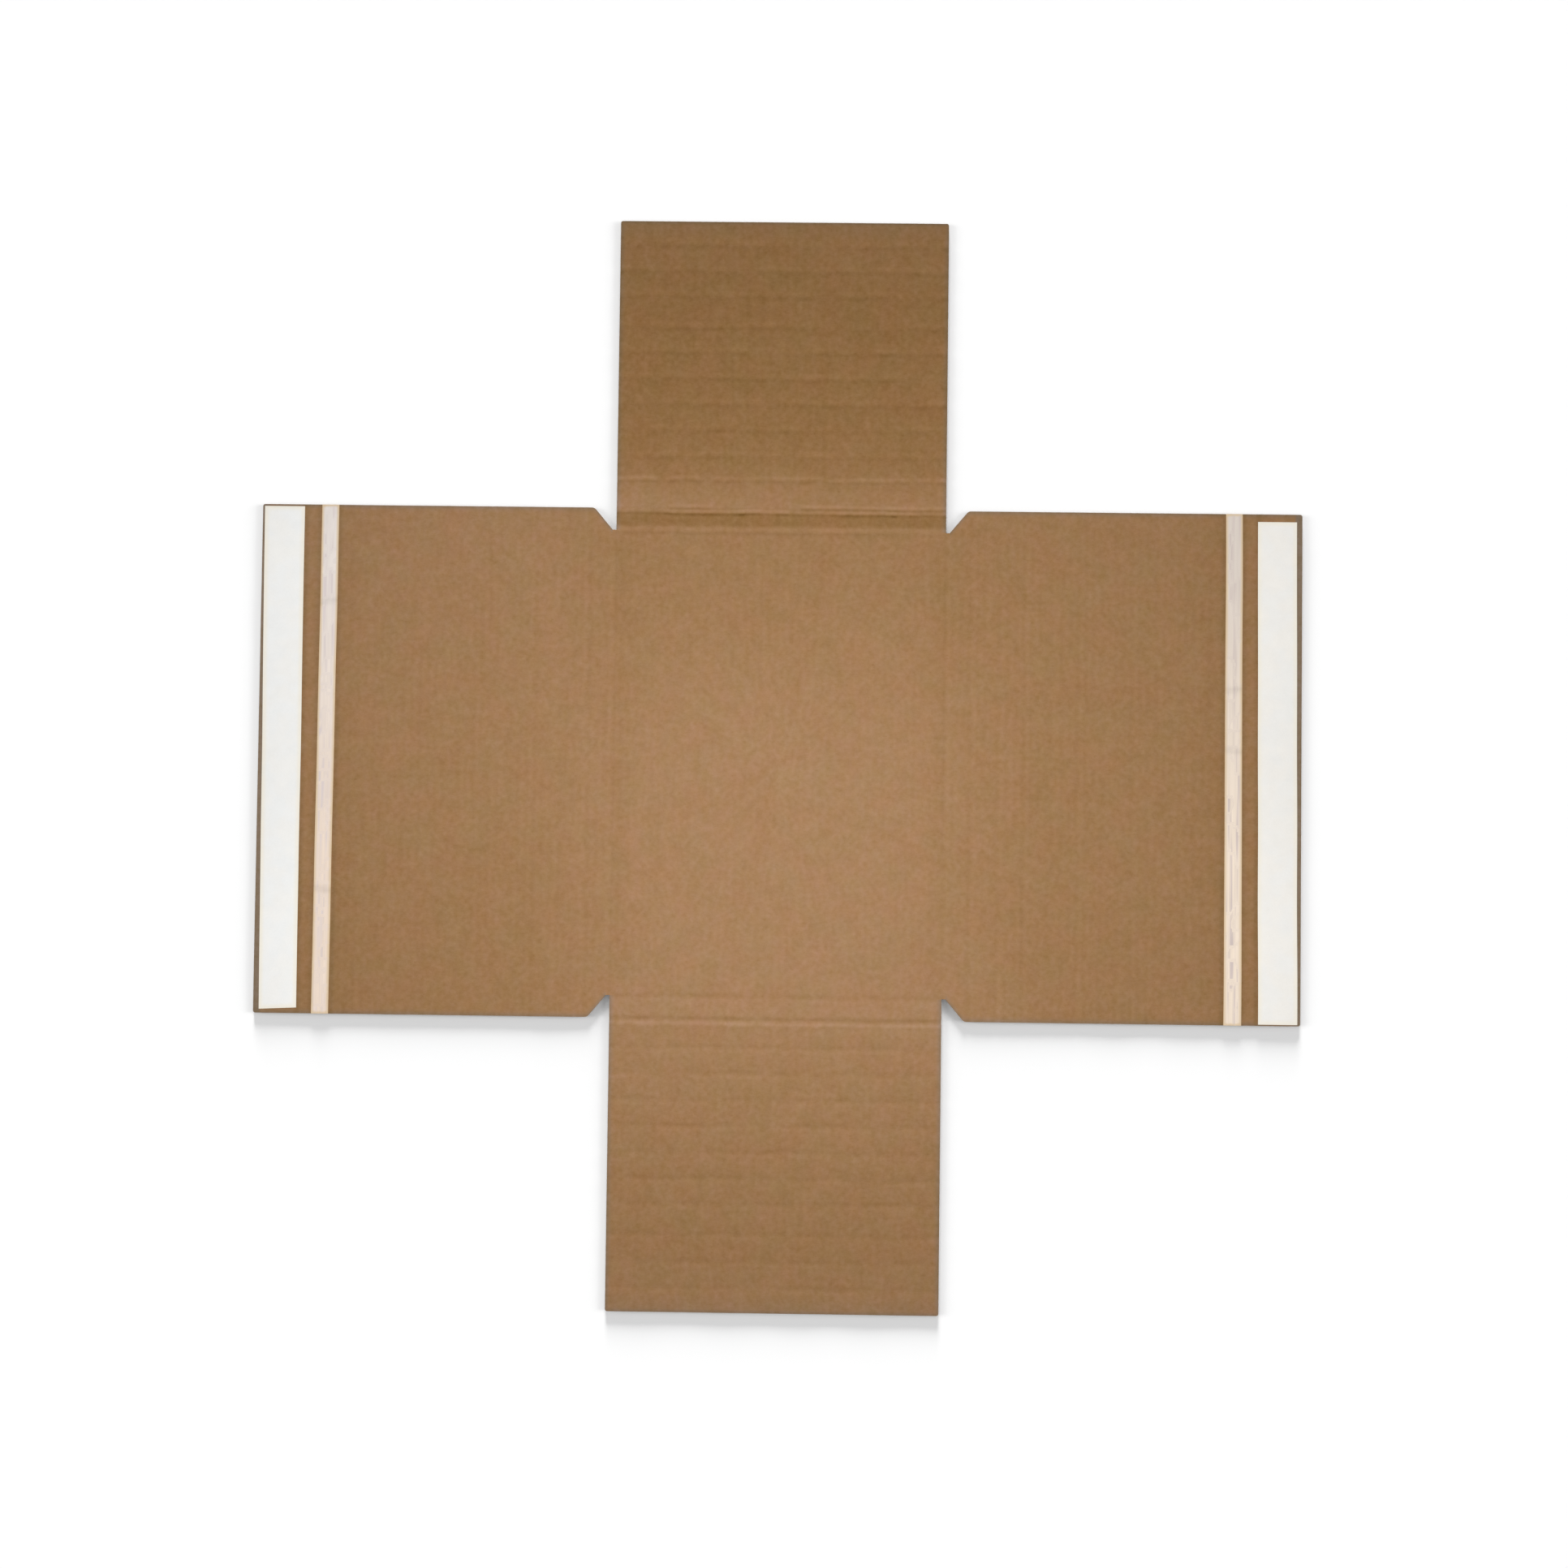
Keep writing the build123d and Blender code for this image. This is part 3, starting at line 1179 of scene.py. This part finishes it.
@dataclass(frozen=True)
class TearFilm:
    """Thin tear tape: milky, striped along its length, cooler at the top end, creamy at its rims."""

    name: str
    warm: Triple
    cool: Triple
    cool_range: Pair = (-57.5, 115.0)
    rim: Triple = (226.0, 200.0, 164.0)
    rim_range: Pair = (0.5, 2.0)
    stripes: Grain = Grain(0.2, 0.7, 3.0, (1.0, 0.012, 1.0))
    cloud: Grain = Grain(0.14, 3.0, 3.0, (1.0, 0.12, 1.0))
    streaks: Grain = Grain(1.0, 1.6, 2.0, (1.0, 0.03, 1.0))
    streak_range: Pair = (0.45, 0.75)
    streak_shares: Triple = (0.94, 0.92, 0.94)
    # Painted shade at the strip's middle, where the key lamp is brightest.
    middle_shade: float = 0.95
    roughness: float = 0.3
    specular: float = 0.5
    bump: float = 0.01

    def material(self) -> bpy.types.Material:
        """Makes the material."""
        recipe = Recipe(self.name)
        cooler = recipe.ramp(recipe.along(), *self.cool_range)
        tint = recipe.mix(cooler, colour(self.warm), colour(self.cool))
        streaks = recipe.noise(self.streaks)
        red, green, blue = (level * share for level, share in zip(self.cool, self.streak_shares))
        tint = recipe.mix(recipe.ramp(streaks, *self.streak_range), tint, colour((red, green, blue)))
        inwards = recipe.math("ADD", recipe.trait(Trait.MARGIN), streaks)
        tint = recipe.mix(recipe.ramp(inwards, *self.rim_range, 1.0, 0.0), tint, colour(self.rim))
        stripes = recipe.noise(self.stripes)
        grains = [(stripes, self.stripes.share), (recipe.noise(self.cloud), self.cloud.share)]
        # The stored tone brings the painted shade beside the wrinkles.
        shade = recipe.total(grains, [(recipe.trait(Trait.PRESS), 1.0)])
        tint = recipe.shaded(recipe.shaded(tint, shade), recipe.painted_middle_dip(self.middle_shade))
        return recipe.dress(tint, self.roughness, self.specular, stripes, self.bump)


@dataclass(frozen=True)
class Adhesive:
    """Clear yellowish adhesive, seen only as a thin line under the release paper."""

    name: str = "adhesive"
    levels: Triple = (205.0, 180.0, 130.0)
    dark_share: float = 0.9
    cloud: Grain = Grain(1.0, 2.0)
    roughness: float = 0.35
    specular: float = 0.5

    def material(self) -> bpy.types.Material:
        """Makes the material."""
        recipe = Recipe(self.name)
        cloud = recipe.noise(self.cloud)
        tint = recipe.mix(cloud, colour(self.levels), colour(self.levels, self.dark_share))
        return recipe.dress(tint, self.roughness, self.specular)


@dataclass
class BoardStock:
    """Board that every panel is made of: its relief, its shared finishes and how finely it is drawn."""

    plan: SheetPlan
    relief: SheetRelief
    tone: SheetTone
    face: bpy.types.Material
    cut: bpy.types.Material
    flute: bpy.types.Material
    face_parts: int = 6
    flute_parts: int = 8
    back_step: int = 6
    row_gap: float = 6.8
    least_gap: float = 0.05
    crown_gain: float = 1.25
    least_swing: float = 0.02

    def flute_columns(self, low: float, high: float, parts: int) -> np.ndarray:
        """Places in step with the flutes, each flute cut into equal parts."""
        step = self.plan.pitch / parts
        first, last = math.ceil(low / step - ROUNDING), math.floor(high / step + ROUNDING)
        return np.arange(first, last + 1) * step

    def base_rows(self) -> np.ndarray:
        """Rows shared by the base and the side flaps, so that their seam has the same points."""
        return spread([], -self.plan.seam_y, self.plan.seam_y, self.row_gap, 0.0)

    def marks(self, places: np.ndarray, step: int, always: Iterable[float]) -> np.ndarray:
        """Numbers of every few places, of both ends and of those that are always kept."""
        chosen = set(range(0, len(places), step)) | {len(places) - 1}
        chosen |= {int(np.argmin(np.abs(places - mark))) for mark in always}
        return np.array(sorted(chosen))

    def medium_wave(self, x: np.ndarray) -> np.ndarray:
        """Course of the fluted paper from -1 to 1, with flattened crowns."""
        return np.clip(self.crown_gain * np.cos(2.0 * math.pi * x / self.plan.pitch), -1.0, 1.0)

    def fill(self, shell: Shell, face: Patch, outer: Patch, inside: Patch) -> None:
        """Adds both liners and the fluted paper between them.

        Args:
            shell: Piece that takes the slabs.
            face: Grid of the upper liner.
            outer: Grid of the lower liner.
            inside: Grid of the fluted paper.
        """
        liner, half = self.plan.liner, self.plan.medium / 2.0
        layers = (Layer.FACE, Layer.CUT, Layer.FLUTE)
        upper = self.relief.top(face.x, face.y)
        # The inner face's stored tone holds its painted light and painted shade.
        inner = {Trait.PRESS: self.tone.inner(face.x, face.y), Trait.WEAR: self.tone.wear(face.x, face.y)}
        shell.add_slab(face, upper, upper - liner, True, layers, inner)
        lower = self.relief.bottom(outer.x, outer.y)
        under = {Trait.PRESS: self.tone.outer(outer.x, outer.y)}
        shell.add_slab(outer, lower, lower + liner, False, layers, under)
        ceiling = self.relief.top(inside.x, inside.y) - liner
        bed = self.relief.bottom(inside.x, inside.y) + liner
        swing = np.maximum(ceiling - bed - self.plan.medium, self.least_swing) / 2.0
        middle = (ceiling + bed) / 2.0 + swing * self.medium_wave(inside.x)
        shell.add_slab(inside, middle + half, middle - half, True, (Layer.FLUTE, Layer.CUT, Layer.FLUTE))


@dataclass
class Panel(ABC):
    """One panel of the blank, as a piece of board that stands for its node in the frame."""

    stock: BoardStock
    node: str

    @abstractmethod
    def patch(self, columns: np.ndarray, rows: np.ndarray, back_step: int) -> Patch:
        """Grid over the panel. Each kind of panel has its own."""

    @abstractmethod
    def columns(self, parts: int) -> np.ndarray:
        """Columns of the grid, with each flute cut into equal parts."""

    @abstractmethod
    def rows(self, fine: bool) -> np.ndarray:
        """Rows of the grid, closer where something shows between them."""

    @abstractmethod
    def settle(self, piece: bpy.types.Object) -> None:
        """Settles the piece: the base joins its body, a flap bakes its place into its points."""

    def build(self) -> bpy.types.Object:
        """Makes the panel, dresses it and settles it."""
        stock = self.stock
        shell = Shell()
        face = self.patch(self.columns(stock.face_parts), self.rows(True), stock.back_step)
        outer = self.patch(self.columns(stock.face_parts), self.rows(False), stock.back_step)
        inside = self.patch(self.columns(stock.flute_parts), self.rows(False), 1)
        stock.fill(shell, face, outer, inside)
        piece = shell.to_object(f"{self.node}_board", [stock.face, stock.cut, stock.flute])
        self.settle(piece)
        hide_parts(self.node)
        return piece


@dataclass
class BasePanel(Panel):
    """Base that the book lies on, up to a little inside its creases."""

    def columns(self, parts: int) -> np.ndarray:
        """Columns of the grid, with each flute cut into equal parts."""
        return self.stock.flute_columns(-self.stock.plan.seam_x, self.stock.plan.seam_x, parts)

    def rows(self, fine: bool) -> np.ndarray:
        """Rows of the grid, the same on both faces."""
        return self.stock.base_rows()

    def patch(self, columns: np.ndarray, rows: np.ndarray, back_step: int) -> Patch:
        """Plain rectangle."""
        x, y = np.meshgrid(columns, rows)
        marks = (self.stock.marks(places, back_step, []) for places in (columns, rows))
        return Patch.whole(x, y, *marks)

    def settle(self, piece: bpy.types.Object) -> None:
        """Rides on the base."""
        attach(piece, "base")


@dataclass
class Flap(Panel):
    """Flap beside the base, with the whole of its crease.

    The steps are places where its grid is closer, counted outwards from the crease and inwards from the
    cut edge. The bend steps mark a stretch beside the crease, whose ends the grid always keeps.
    """

    side: Side
    body: str
    bend_steps: tuple[float, ...] = (-0.4, 0.0, 0.3, 0.6, 0.9, 1.2, 1.6)
    crease_steps: tuple[float, ...] = ()
    edge_steps: tuple[float, ...] = (0.06, 0.15, 0.3, 0.55, 1.0)

    @property
    @abstractmethod
    def crease(self) -> float:
        """Place of the crease on its own side of the sheet."""

    def bend(self) -> list[float]:
        """First and last place of the stretch beside the crease that the bend steps mark."""
        return [self.crease + self.side * step for step in (self.bend_steps[0], self.bend_steps[-1])]


@dataclass
class EndFlap(Flap):
    """Flap at one end of the base."""

    crease_steps: tuple[float, ...] = (-2.3, -1.6, -1.2, -0.8, 2.0, 2.5, 3.2)
    edge_steps: tuple[float, ...] = (0.06, 0.15, 0.3, 0.55, 1.0, 1.6)
    score_steps: tuple[float, ...] = (-2.6, -1.8, -1.2, -0.6, 0.0, 0.6, 1.2, 1.8, 2.6)
    coarse_score_steps: tuple[float, ...] = (-1.5, 0.0, 1.5)
    rim_steps: tuple[float, ...] = (0.9, 0.5, 0.2)
    rim_gap: float = 0.6
    least_rim_gap: float = 0.12

    @property
    def crease(self) -> float:
        """Place of the crease along Y."""
        return self.side * self.stock.plan.half_length

    def columns(self, parts: int) -> np.ndarray:
        """Columns of the grid, with each flute cut into equal parts."""
        plan = self.stock.plan
        reach = plan.flap_half_width
        inner = self.stock.flute_columns(-plan.seam_x, plan.seam_x, parts)
        marks = list(self.stock.flute_columns(plan.seam_x, reach, parts))
        marks += [reach - step for step in self.rim_steps]
        outer = spread(marks, plan.seam_x, reach, self.rim_gap, self.least_rim_gap)[1:]
        return np.concatenate((-outer[::-1], inner, outer))

    def rows(self, fine: bool) -> np.ndarray:
        """Rows of the grid, close beside the crease and the scores."""
        plan = self.stock.plan
        beside_score = self.score_steps if fine else self.coarse_score_steps
        marks = [plan.half_length + step for step in self.bend_steps + self.crease_steps]
        bent = plan.half_length + self.bend_steps[-1]
        for line in self.stock.relief.lines:
            if line.run is Run.ACROSS_FLUTES and line.place * self.side > bent:
                marks += [line.place * self.side + step for step in beside_score]
        marks += [plan.flap_end - step for step in self.edge_steps]
        gap, least = self.stock.row_gap, self.stock.least_gap
        return mirrored(spread(marks, plan.seam_y, plan.flap_end, gap, least), self.side)

    def patch(self, columns: np.ndarray, rows: np.ndarray, back_step: int) -> Patch:
        """Rectangle with rounded outer corners, narrower beside its crease."""
        plan = self.stock.plan
        x, y = np.meshgrid(columns, rows)
        share = np.clip((np.abs(x) - plan.seam_x) / (plan.flap_half_width - plan.seam_x), 0.0, 1.0)
        x = np.where(share > 0.0, np.sign(x) * (plan.seam_x + share * (plan.end_limit(y) - plan.seam_x)), x)
        column_marks = self.stock.marks(columns, back_step, (-plan.seam_x, plan.seam_x))
        row_marks = self.stock.marks(rows, max(1, back_step // 2), (self.crease, *self.bend()))
        beside = np.abs(columns[column_marks][:-1] + np.diff(columns[column_marks]) / 2.0) > plan.seam_x
        before = np.abs(rows[row_marks][:-1] + np.diff(rows[row_marks]) / 2.0) < plan.half_length
        return Patch(x, y, column_marks, row_marks, ~(before[:, None] & beside[None, :]))

    def settle(self, piece: bpy.types.Object) -> None:
        """Bakes its place into its points."""
        start, end = self.bend()
        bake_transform(piece)


@dataclass
class SideFlap(Flap):
    """Flap at one side of the base, with both its notches."""

    crease_steps: tuple[float, ...] = (-1.5, -0.8, 2.1)
    shoulder_steps: tuple[float, ...] = (-0.8, 0.0, 0.6, 1.2)
    row_steps: tuple[float, ...] = (2.0, 1.2, 0.7, 0.4, 0.2, 0.08, 0.0)
    free_row: float = 98.0

    @property
    def crease(self) -> float:
        """Place of the crease along X."""
        return self.side * self.stock.plan.half_width

    def columns(self, parts: int) -> np.ndarray:
        """Columns of the grid, in step with the flutes and closer at the crease and the cut edge."""
        plan = self.stock.plan
        marks = list(self.stock.flute_columns(plan.seam_x, plan.cut_edge, parts))
        if parts == self.stock.face_parts:
            marks += [plan.half_width + step for step in self.bend_steps + self.crease_steps]
        marks += [plan.cut_edge - step for step in self.edge_steps]
        places = spread(marks, plan.seam_x, plan.cut_edge, plan.pitch, self.stock.least_gap)
        return mirrored(places, self.side)

    def rows(self, fine: bool) -> np.ndarray:
        """Rows of the grid, closer towards the cut edges."""
        inner = self.stock.base_rows()
        outer = self.stock.plan.half_length - np.array(self.row_steps)
        return np.concatenate((-outer[::-1], inner, outer))

    def patch(self, columns: np.ndarray, rows: np.ndarray, back_step: int) -> Patch:
        """Rectangle whose ends are drawn out to the chamfers and the cut edges."""
        plan = self.stock.plan
        x, y = np.meshgrid(columns, rows)
        share = np.clip((np.abs(y) - self.free_row) / (plan.half_length - self.free_row), 0.0, None)
        drawn = np.sign(y) * (self.free_row + share * (plan.side_limit(x) - self.free_row))
        y = np.where(np.abs(y) > self.free_row, drawn, y)
        corners = [plan.foot] + [plan.foot + plan.notch_run + step for step in self.shoulder_steps]
        corners += [plan.cut_edge - step for step in self.edge_steps]
        keep = [self.side * place for place in corners] + self.bend()
        column_marks = self.stock.marks(columns, back_step, keep)
        row_marks = self.stock.marks(rows, back_step, (-plan.seam_y, plan.seam_y))
        return Patch.whole(x, y, column_marks, row_marks)

    def settle(self, piece: bpy.types.Object) -> None:
        """Bakes its place into its points."""
        start, end = self.bend()
        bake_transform(piece)


@dataclass(frozen=True)
class Laid:
    """How a strip strayed as it was laid: sideways at either end, wider towards the top, cut aslant."""

    high_shift: float = 0.0
    low_shift: float = 0.0
    widening: float = 0.0
    slant: float = 0.0


@dataclass
class Strip:
    """Thin strip along the outer edge of a side flap, drawn a little unevenly, as it was laid."""

    node: str
    body: str
    slot: str
    material: bpy.types.Material
    seed: int
    laid: Laid = Laid()
    columns: int = 14
    row_gap: float = 1.5
    wander: float = 0.05
    wander_waves: Pair = (50.0, 160.0)
    slant_reach: float = 12.0
    ripple: float = 0.0
    ripple_rest: float = 0.6
    ripple_waves: Pair = (5.0, 30.0)
    wrinkles: tuple[float, ...] = ()
    wrinkle_slope: float = 0.12
    wrinkle_ridge: Band = Band(0.1, 0.0, 0.6)
    # Painted shade beside each wrinkle ridge.
    wrinkle_shade: Band = Band(0.13, -0.9, 1.3)

    def drawn(
        self, share: np.ndarray, v: np.ndarray, low: Vector, high: Vector
    ) -> tuple[np.ndarray, np.ndarray]:
        """Places of the points as the strip was laid.

        Args:
            share: How far across the strip each point is, from -1 to 1.
            v: Place of each point along the straight strip.
            low: Low corner of the straight strip.
            high: High corner of the straight strip.

        Returns:
            X and Y of each point.
        """
        laid = self.laid
        middle, half = (low.x + high.x) / 2.0, (high.x - low.x) / 2.0
        upwards = (v - low.y) / (high.y - low.y)
        drift = laid.low_shift + (laid.high_shift - laid.low_shift) * upwards
        drift = drift + self.wander * Waves(self.seed, *self.wander_waves).at(v, 0.0)
        x = middle + share * (half + laid.widening * (upwards - 0.5)) + drift
        y = v + laid.slant * share * step_up((low.y + self.slant_reach - v) / self.slant_reach)
        return x, y

    def raised(self, u: np.ndarray, v: np.ndarray) -> tuple[np.ndarray, np.ndarray]:
        """Height that ripples and wrinkles add to each point of the straight strip, and the painted shade
        beside each wrinkle.
        """
        rippled = Waves(self.seed + 1, *self.ripple_waves).at(u, v) + self.ripple_rest
        lift, tone = self.ripple * np.clip(rippled, 0.0, 2.0), np.zeros(u.shape)
        middle = (u.min() + u.max()) / 2.0
        for k, place in enumerate(self.wrinkles):
            beside = v - place - self.wrinkle_slope * (u - middle) * (-1) ** k
            lift = lift + self.wrinkle_ridge.at(beside)
            # Painted shade beside the wrinkle.
            tone = tone - self.wrinkle_shade.at(beside)
        return lift, tone

    def build(self) -> bpy.types.Object:
        """Makes the strip in its node's place and lays it on the flap."""
        low, high = (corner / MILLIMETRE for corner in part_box(self.node))
        across = np.linspace(low.x, high.x, self.columns)
        along = spread([], low.y, high.y, self.row_gap, 0.0)
        u, v = np.meshgrid(across, along)
        half = (high.x - low.x) / 2.0
        share = (u - (low.x + high.x) / 2.0) / half
        margin = np.minimum(half * (1.0 - np.abs(share)), np.minimum(v - low.y, high.y - v))
        x, y = self.drawn(share, v, low, high)
        lift, tone = self.raised(u, v)
        patch = Patch.whole(x, y, np.arange(len(across)), np.arange(len(along)))
        floor = np.full(x.shape, low.z)
        traits = {Trait.MARGIN: margin, Trait.PRESS: tone}
        shell = Shell()
        shell.add_slab(patch, floor + (high.z - low.z) + lift, floor, True, (Layer.FACE,) * 3, traits)
        piece = shell.to_object(f"{self.node}_piece", [self.material])
        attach(piece, self.body)
        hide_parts(self.node)
        return piece


@dataclass
class SideStrips:
    """Adhesive band, release paper and tear tape of one side flap, with a seed for each in that order."""

    name: str
    seeds: tuple[int, int, int]
    adhesive: bpy.types.Material
    paper: ReleasePaper
    film: TearFilm
    paper_laid: Laid
    film_laid: Laid
    wrinkles: tuple[float, ...]
    paper_columns: int = 24
    paper_ripple: float = 0.01
    film_ripple: float = 0.03

    def build(self) -> list[bpy.types.Object]:
        """Makes the three strips, from the adhesive up."""
        name, body = self.name, f"{self.name}_side"
        band_seed, paper_seed, film_seed = self.seeds
        strips = (
            Strip(f"{name}_adhesive_band", body, "adhesive", self.adhesive, band_seed),
            Strip(
                f"{name}_release_liner", body, "release_paper", self.paper.material(), paper_seed,
                self.paper_laid, self.paper_columns, ripple=self.paper_ripple,
            ),
            Strip(
                f"{name}_tear_tape", body, "tear_film", self.film.material(), film_seed,
                self.film_laid, ripple=self.film_ripple, wrinkles=self.wrinkles,
            ),
        )
        return [strip.build() for strip in strips]


@dataclass(frozen=True)
class FloorLamp:
    """Distant lamp that lights only the floor, for the soft shadow round the sheet."""

    name: str
    azimuth: float
    elevation: float
    spread: float
    share: float

    def build(self, receivers: bpy.types.Collection) -> None:
        """Adds the lamp, linked to the floor alone."""
        lamp = bpy.data.lights.new(self.name, "SUN")
        lamp.angle = math.radians(self.spread)
        lamp.energy = self.share * math.pi / math.sin(math.radians(self.elevation))
        placed = add_object(self.name, lamp)
        turn, rise = math.radians(self.azimuth), math.radians(self.elevation)
        towards = Vector((math.cos(turn) * math.cos(rise), math.sin(turn) * math.cos(rise), math.sin(rise)))
        placed.rotation_euler = towards.to_track_quat("Z", "Y").to_euler()
        placed.light_linking.receiver_collection = receivers


@dataclass(frozen=True)
class Studio:
    """Camera, lamps and floor."""

    sensor: float = 36.0
    image_size: float = 1932.0
    focal_pixels: float = 2600.0
    clip_start: float = 0.01
    camera_place: Triple = (13.73, -40.07, 951.1)
    camera_turns: Triple = (0.0326, 0.0112, 0.0120)
    key_place: Triple = (0.0, -20.0, 480.0)
    key_size: Pair = (400.0, 160.0)
    key_power: float = 2.05
    ambient: float = 0.33
    floor_reach: float = 4.0
    floor_drop: float = 0.02
    floor_shade: float = 0.8
    floor_level: float = 1.02
    low_lamps: tuple[FloorLamp, ...] = (
        FloorLamp("floor_lamp_far", 92.0, 8.0, 14.0, 0.45),
        FloorLamp("floor_lamp_left", 178.0, 16.0, 28.0, 0.2),
        FloorLamp("floor_lamp_right", 2.0, 16.0, 28.0, 0.22),
    )

    def camera(self) -> None:
        """Looks straight down on the sheet."""
        data = bpy.data.cameras.new("camera")
        data.sensor_width = self.sensor
        data.lens = self.sensor * self.focal_pixels / self.image_size
        data.clip_start = self.clip_start
        placed = add_object("camera", data)
        about_x, about_y, about_z = self.camera_turns
        turn = Matrix.Rotation(about_z, 4, "Z") @ Matrix.Rotation(about_x, 4, "X")
        turn = turn @ Matrix.Rotation(about_y, 4, "Y")
        placed.matrix_world = Matrix.Translation(Vector(self.camera_place) * MILLIMETRE) @ turn
        bpy.context.scene.camera = placed

    def floor(self) -> bpy.types.Object:
        """Plain pale floor."""
        reach = self.floor_reach
        mesh = bpy.data.meshes.new("floor")
        corners = [(-reach, -reach, 0), (reach, -reach, 0), (reach, reach, 0), (-reach, reach, 0)]
        mesh.from_pydata(corners, [], [[0, 1, 2, 3]])
        shade = self.floor_shade
        mesh.materials.append(Recipe("floor").dress((shade, shade, shade, 1.0), 1.0, 0.0))
        placed = add_object("floor", mesh)
        placed.location.z = -self.floor_drop * MILLIMETRE
        return placed

    def key(self, floor: bpy.types.Object) -> None:
        """Soft lamp over the middle of the sheet, which leaves the floor to its own lamps."""
        lamp = bpy.data.lights.new("key", "AREA")
        lamp.shape = "RECTANGLE"
        lamp.size, lamp.size_y = (size * MILLIMETRE for size in self.key_size)
        lamp.energy = self.key_power
        placed = add_object("key", lamp)
        placed.location = Vector(self.key_place) * MILLIMETRE
        placed.visible_camera = False
        others = bpy.data.collections.new("not_lit_by_key")
        others.objects.link(floor)
        others.collection_objects[0].light_linking.link_state = "EXCLUDE"
        placed.light_linking.receiver_collection = others

    def world(self) -> None:
        """Even pale surroundings, white to the camera."""
        world = bpy.data.worlds.new("surroundings")
        world.use_nodes = True
        tree = world.node_tree
        background = tree.nodes["Background"]
        path = tree.nodes.new("ShaderNodeLightPath")
        seen = tree.nodes.new("ShaderNodeMapRange")
        seen.inputs["To Min"].default_value = self.ambient
        seen.inputs["To Max"].default_value = 1.0
        tree.links.new(path.outputs["Is Camera Ray"], seen.inputs["Value"])
        tree.links.new(seen.outputs["Result"], background.inputs["Strength"])
        background.inputs["Color"].default_value = (1.0, 1.0, 1.0, 1.0)
        bpy.context.scene.world = world

    def floor_lamps(self, floor: bpy.types.Object) -> None:
        """Lamps that make the floor white and shade it below and beside the sheet."""
        receivers = bpy.data.collections.new("floor_alone")
        receivers.objects.link(floor)
        low = sum(lamp.share for lamp in self.low_lamps)
        rest = self.floor_level / self.floor_shade - self.ambient - low
        for lamp in (*self.low_lamps, FloorLamp("floor_lamp_above", 90.0, 89.0, 20.0, rest)):
            lamp.build(receivers)

    def build(self) -> None:
        """Sets up the whole studio."""
        bpy.context.scene.view_settings.view_transform = "Standard"
        self.camera()
        floor = self.floor()
        self.key(floor)
        self.floor_lamps(floor)
        self.world()


def report(piece: bpy.types.Object) -> None:
    """Logs a piece's name and size."""
    log.info("%s: %d faces, %d points", piece.name, len(piece.data.polygons), len(piece.data.vertices))


def main() -> None:
    """Builds the studio and every piece of the blank."""
    logging.basicConfig(level=logging.INFO, format="%(message)s")
    Studio().build()
    plan = SheetPlan.from_frame()
    relief = SheetRelief(plan)
    finishes = (KraftFace().material(), CutPaper().material(), FlutePaper().material())
    stock = BoardStock(plan, relief, SheetTone(relief), *finishes)
    panels = [
        BasePanel(stock, "base_panel"),
        EndFlap(stock, "top_end_flap", Side.HIGH, "top_end"),
        EndFlap(stock, "bottom_end_flap", Side.LOW, "bottom_end"),
        SideFlap(stock, "left_side_flap", Side.LOW, "left_side"),
        SideFlap(stock, "right_side_flap", Side.HIGH, "right_side"),
    ]
    for panel in panels:
        report(panel.build())
    adhesive = Adhesive().material()
    strips = (
        SideStrips(
            "left", (200, 210, 220), adhesive,
            paper=ReleasePaper("left_release_paper", (253.0, 251.5, 247.5)),
            film=TearFilm("left_tear_film", (245.0, 225.0, 207.0), (240.0, 231.0, 224.0)),
            paper_laid=Laid(high_shift=-0.75, low_shift=0.3, widening=0.65, slant=0.4),
            film_laid=Laid(high_shift=0.4, low_shift=-0.45),
            wrinkles=(72.1, -58.2),
        ),
        SideStrips(
            "right", (201, 211, 221), adhesive,
            paper=ReleasePaper("right_release_paper", (252.0, 248.5, 242.0)),
            film=TearFilm("right_tear_film", (251.0, 233.0, 213.0), (228.0, 216.0, 205.0)),
            paper_laid=Laid(high_shift=-0.5, low_shift=0.55),
            film_laid=Laid(high_shift=-0.1, low_shift=0.05, widening=-0.25),
            wrinkles=(36.3, 8.9),
        ),
    )
    for side_strips in strips:
        for piece in side_strips.build():
            report(piece)


if __name__ == "__main__":
    main()
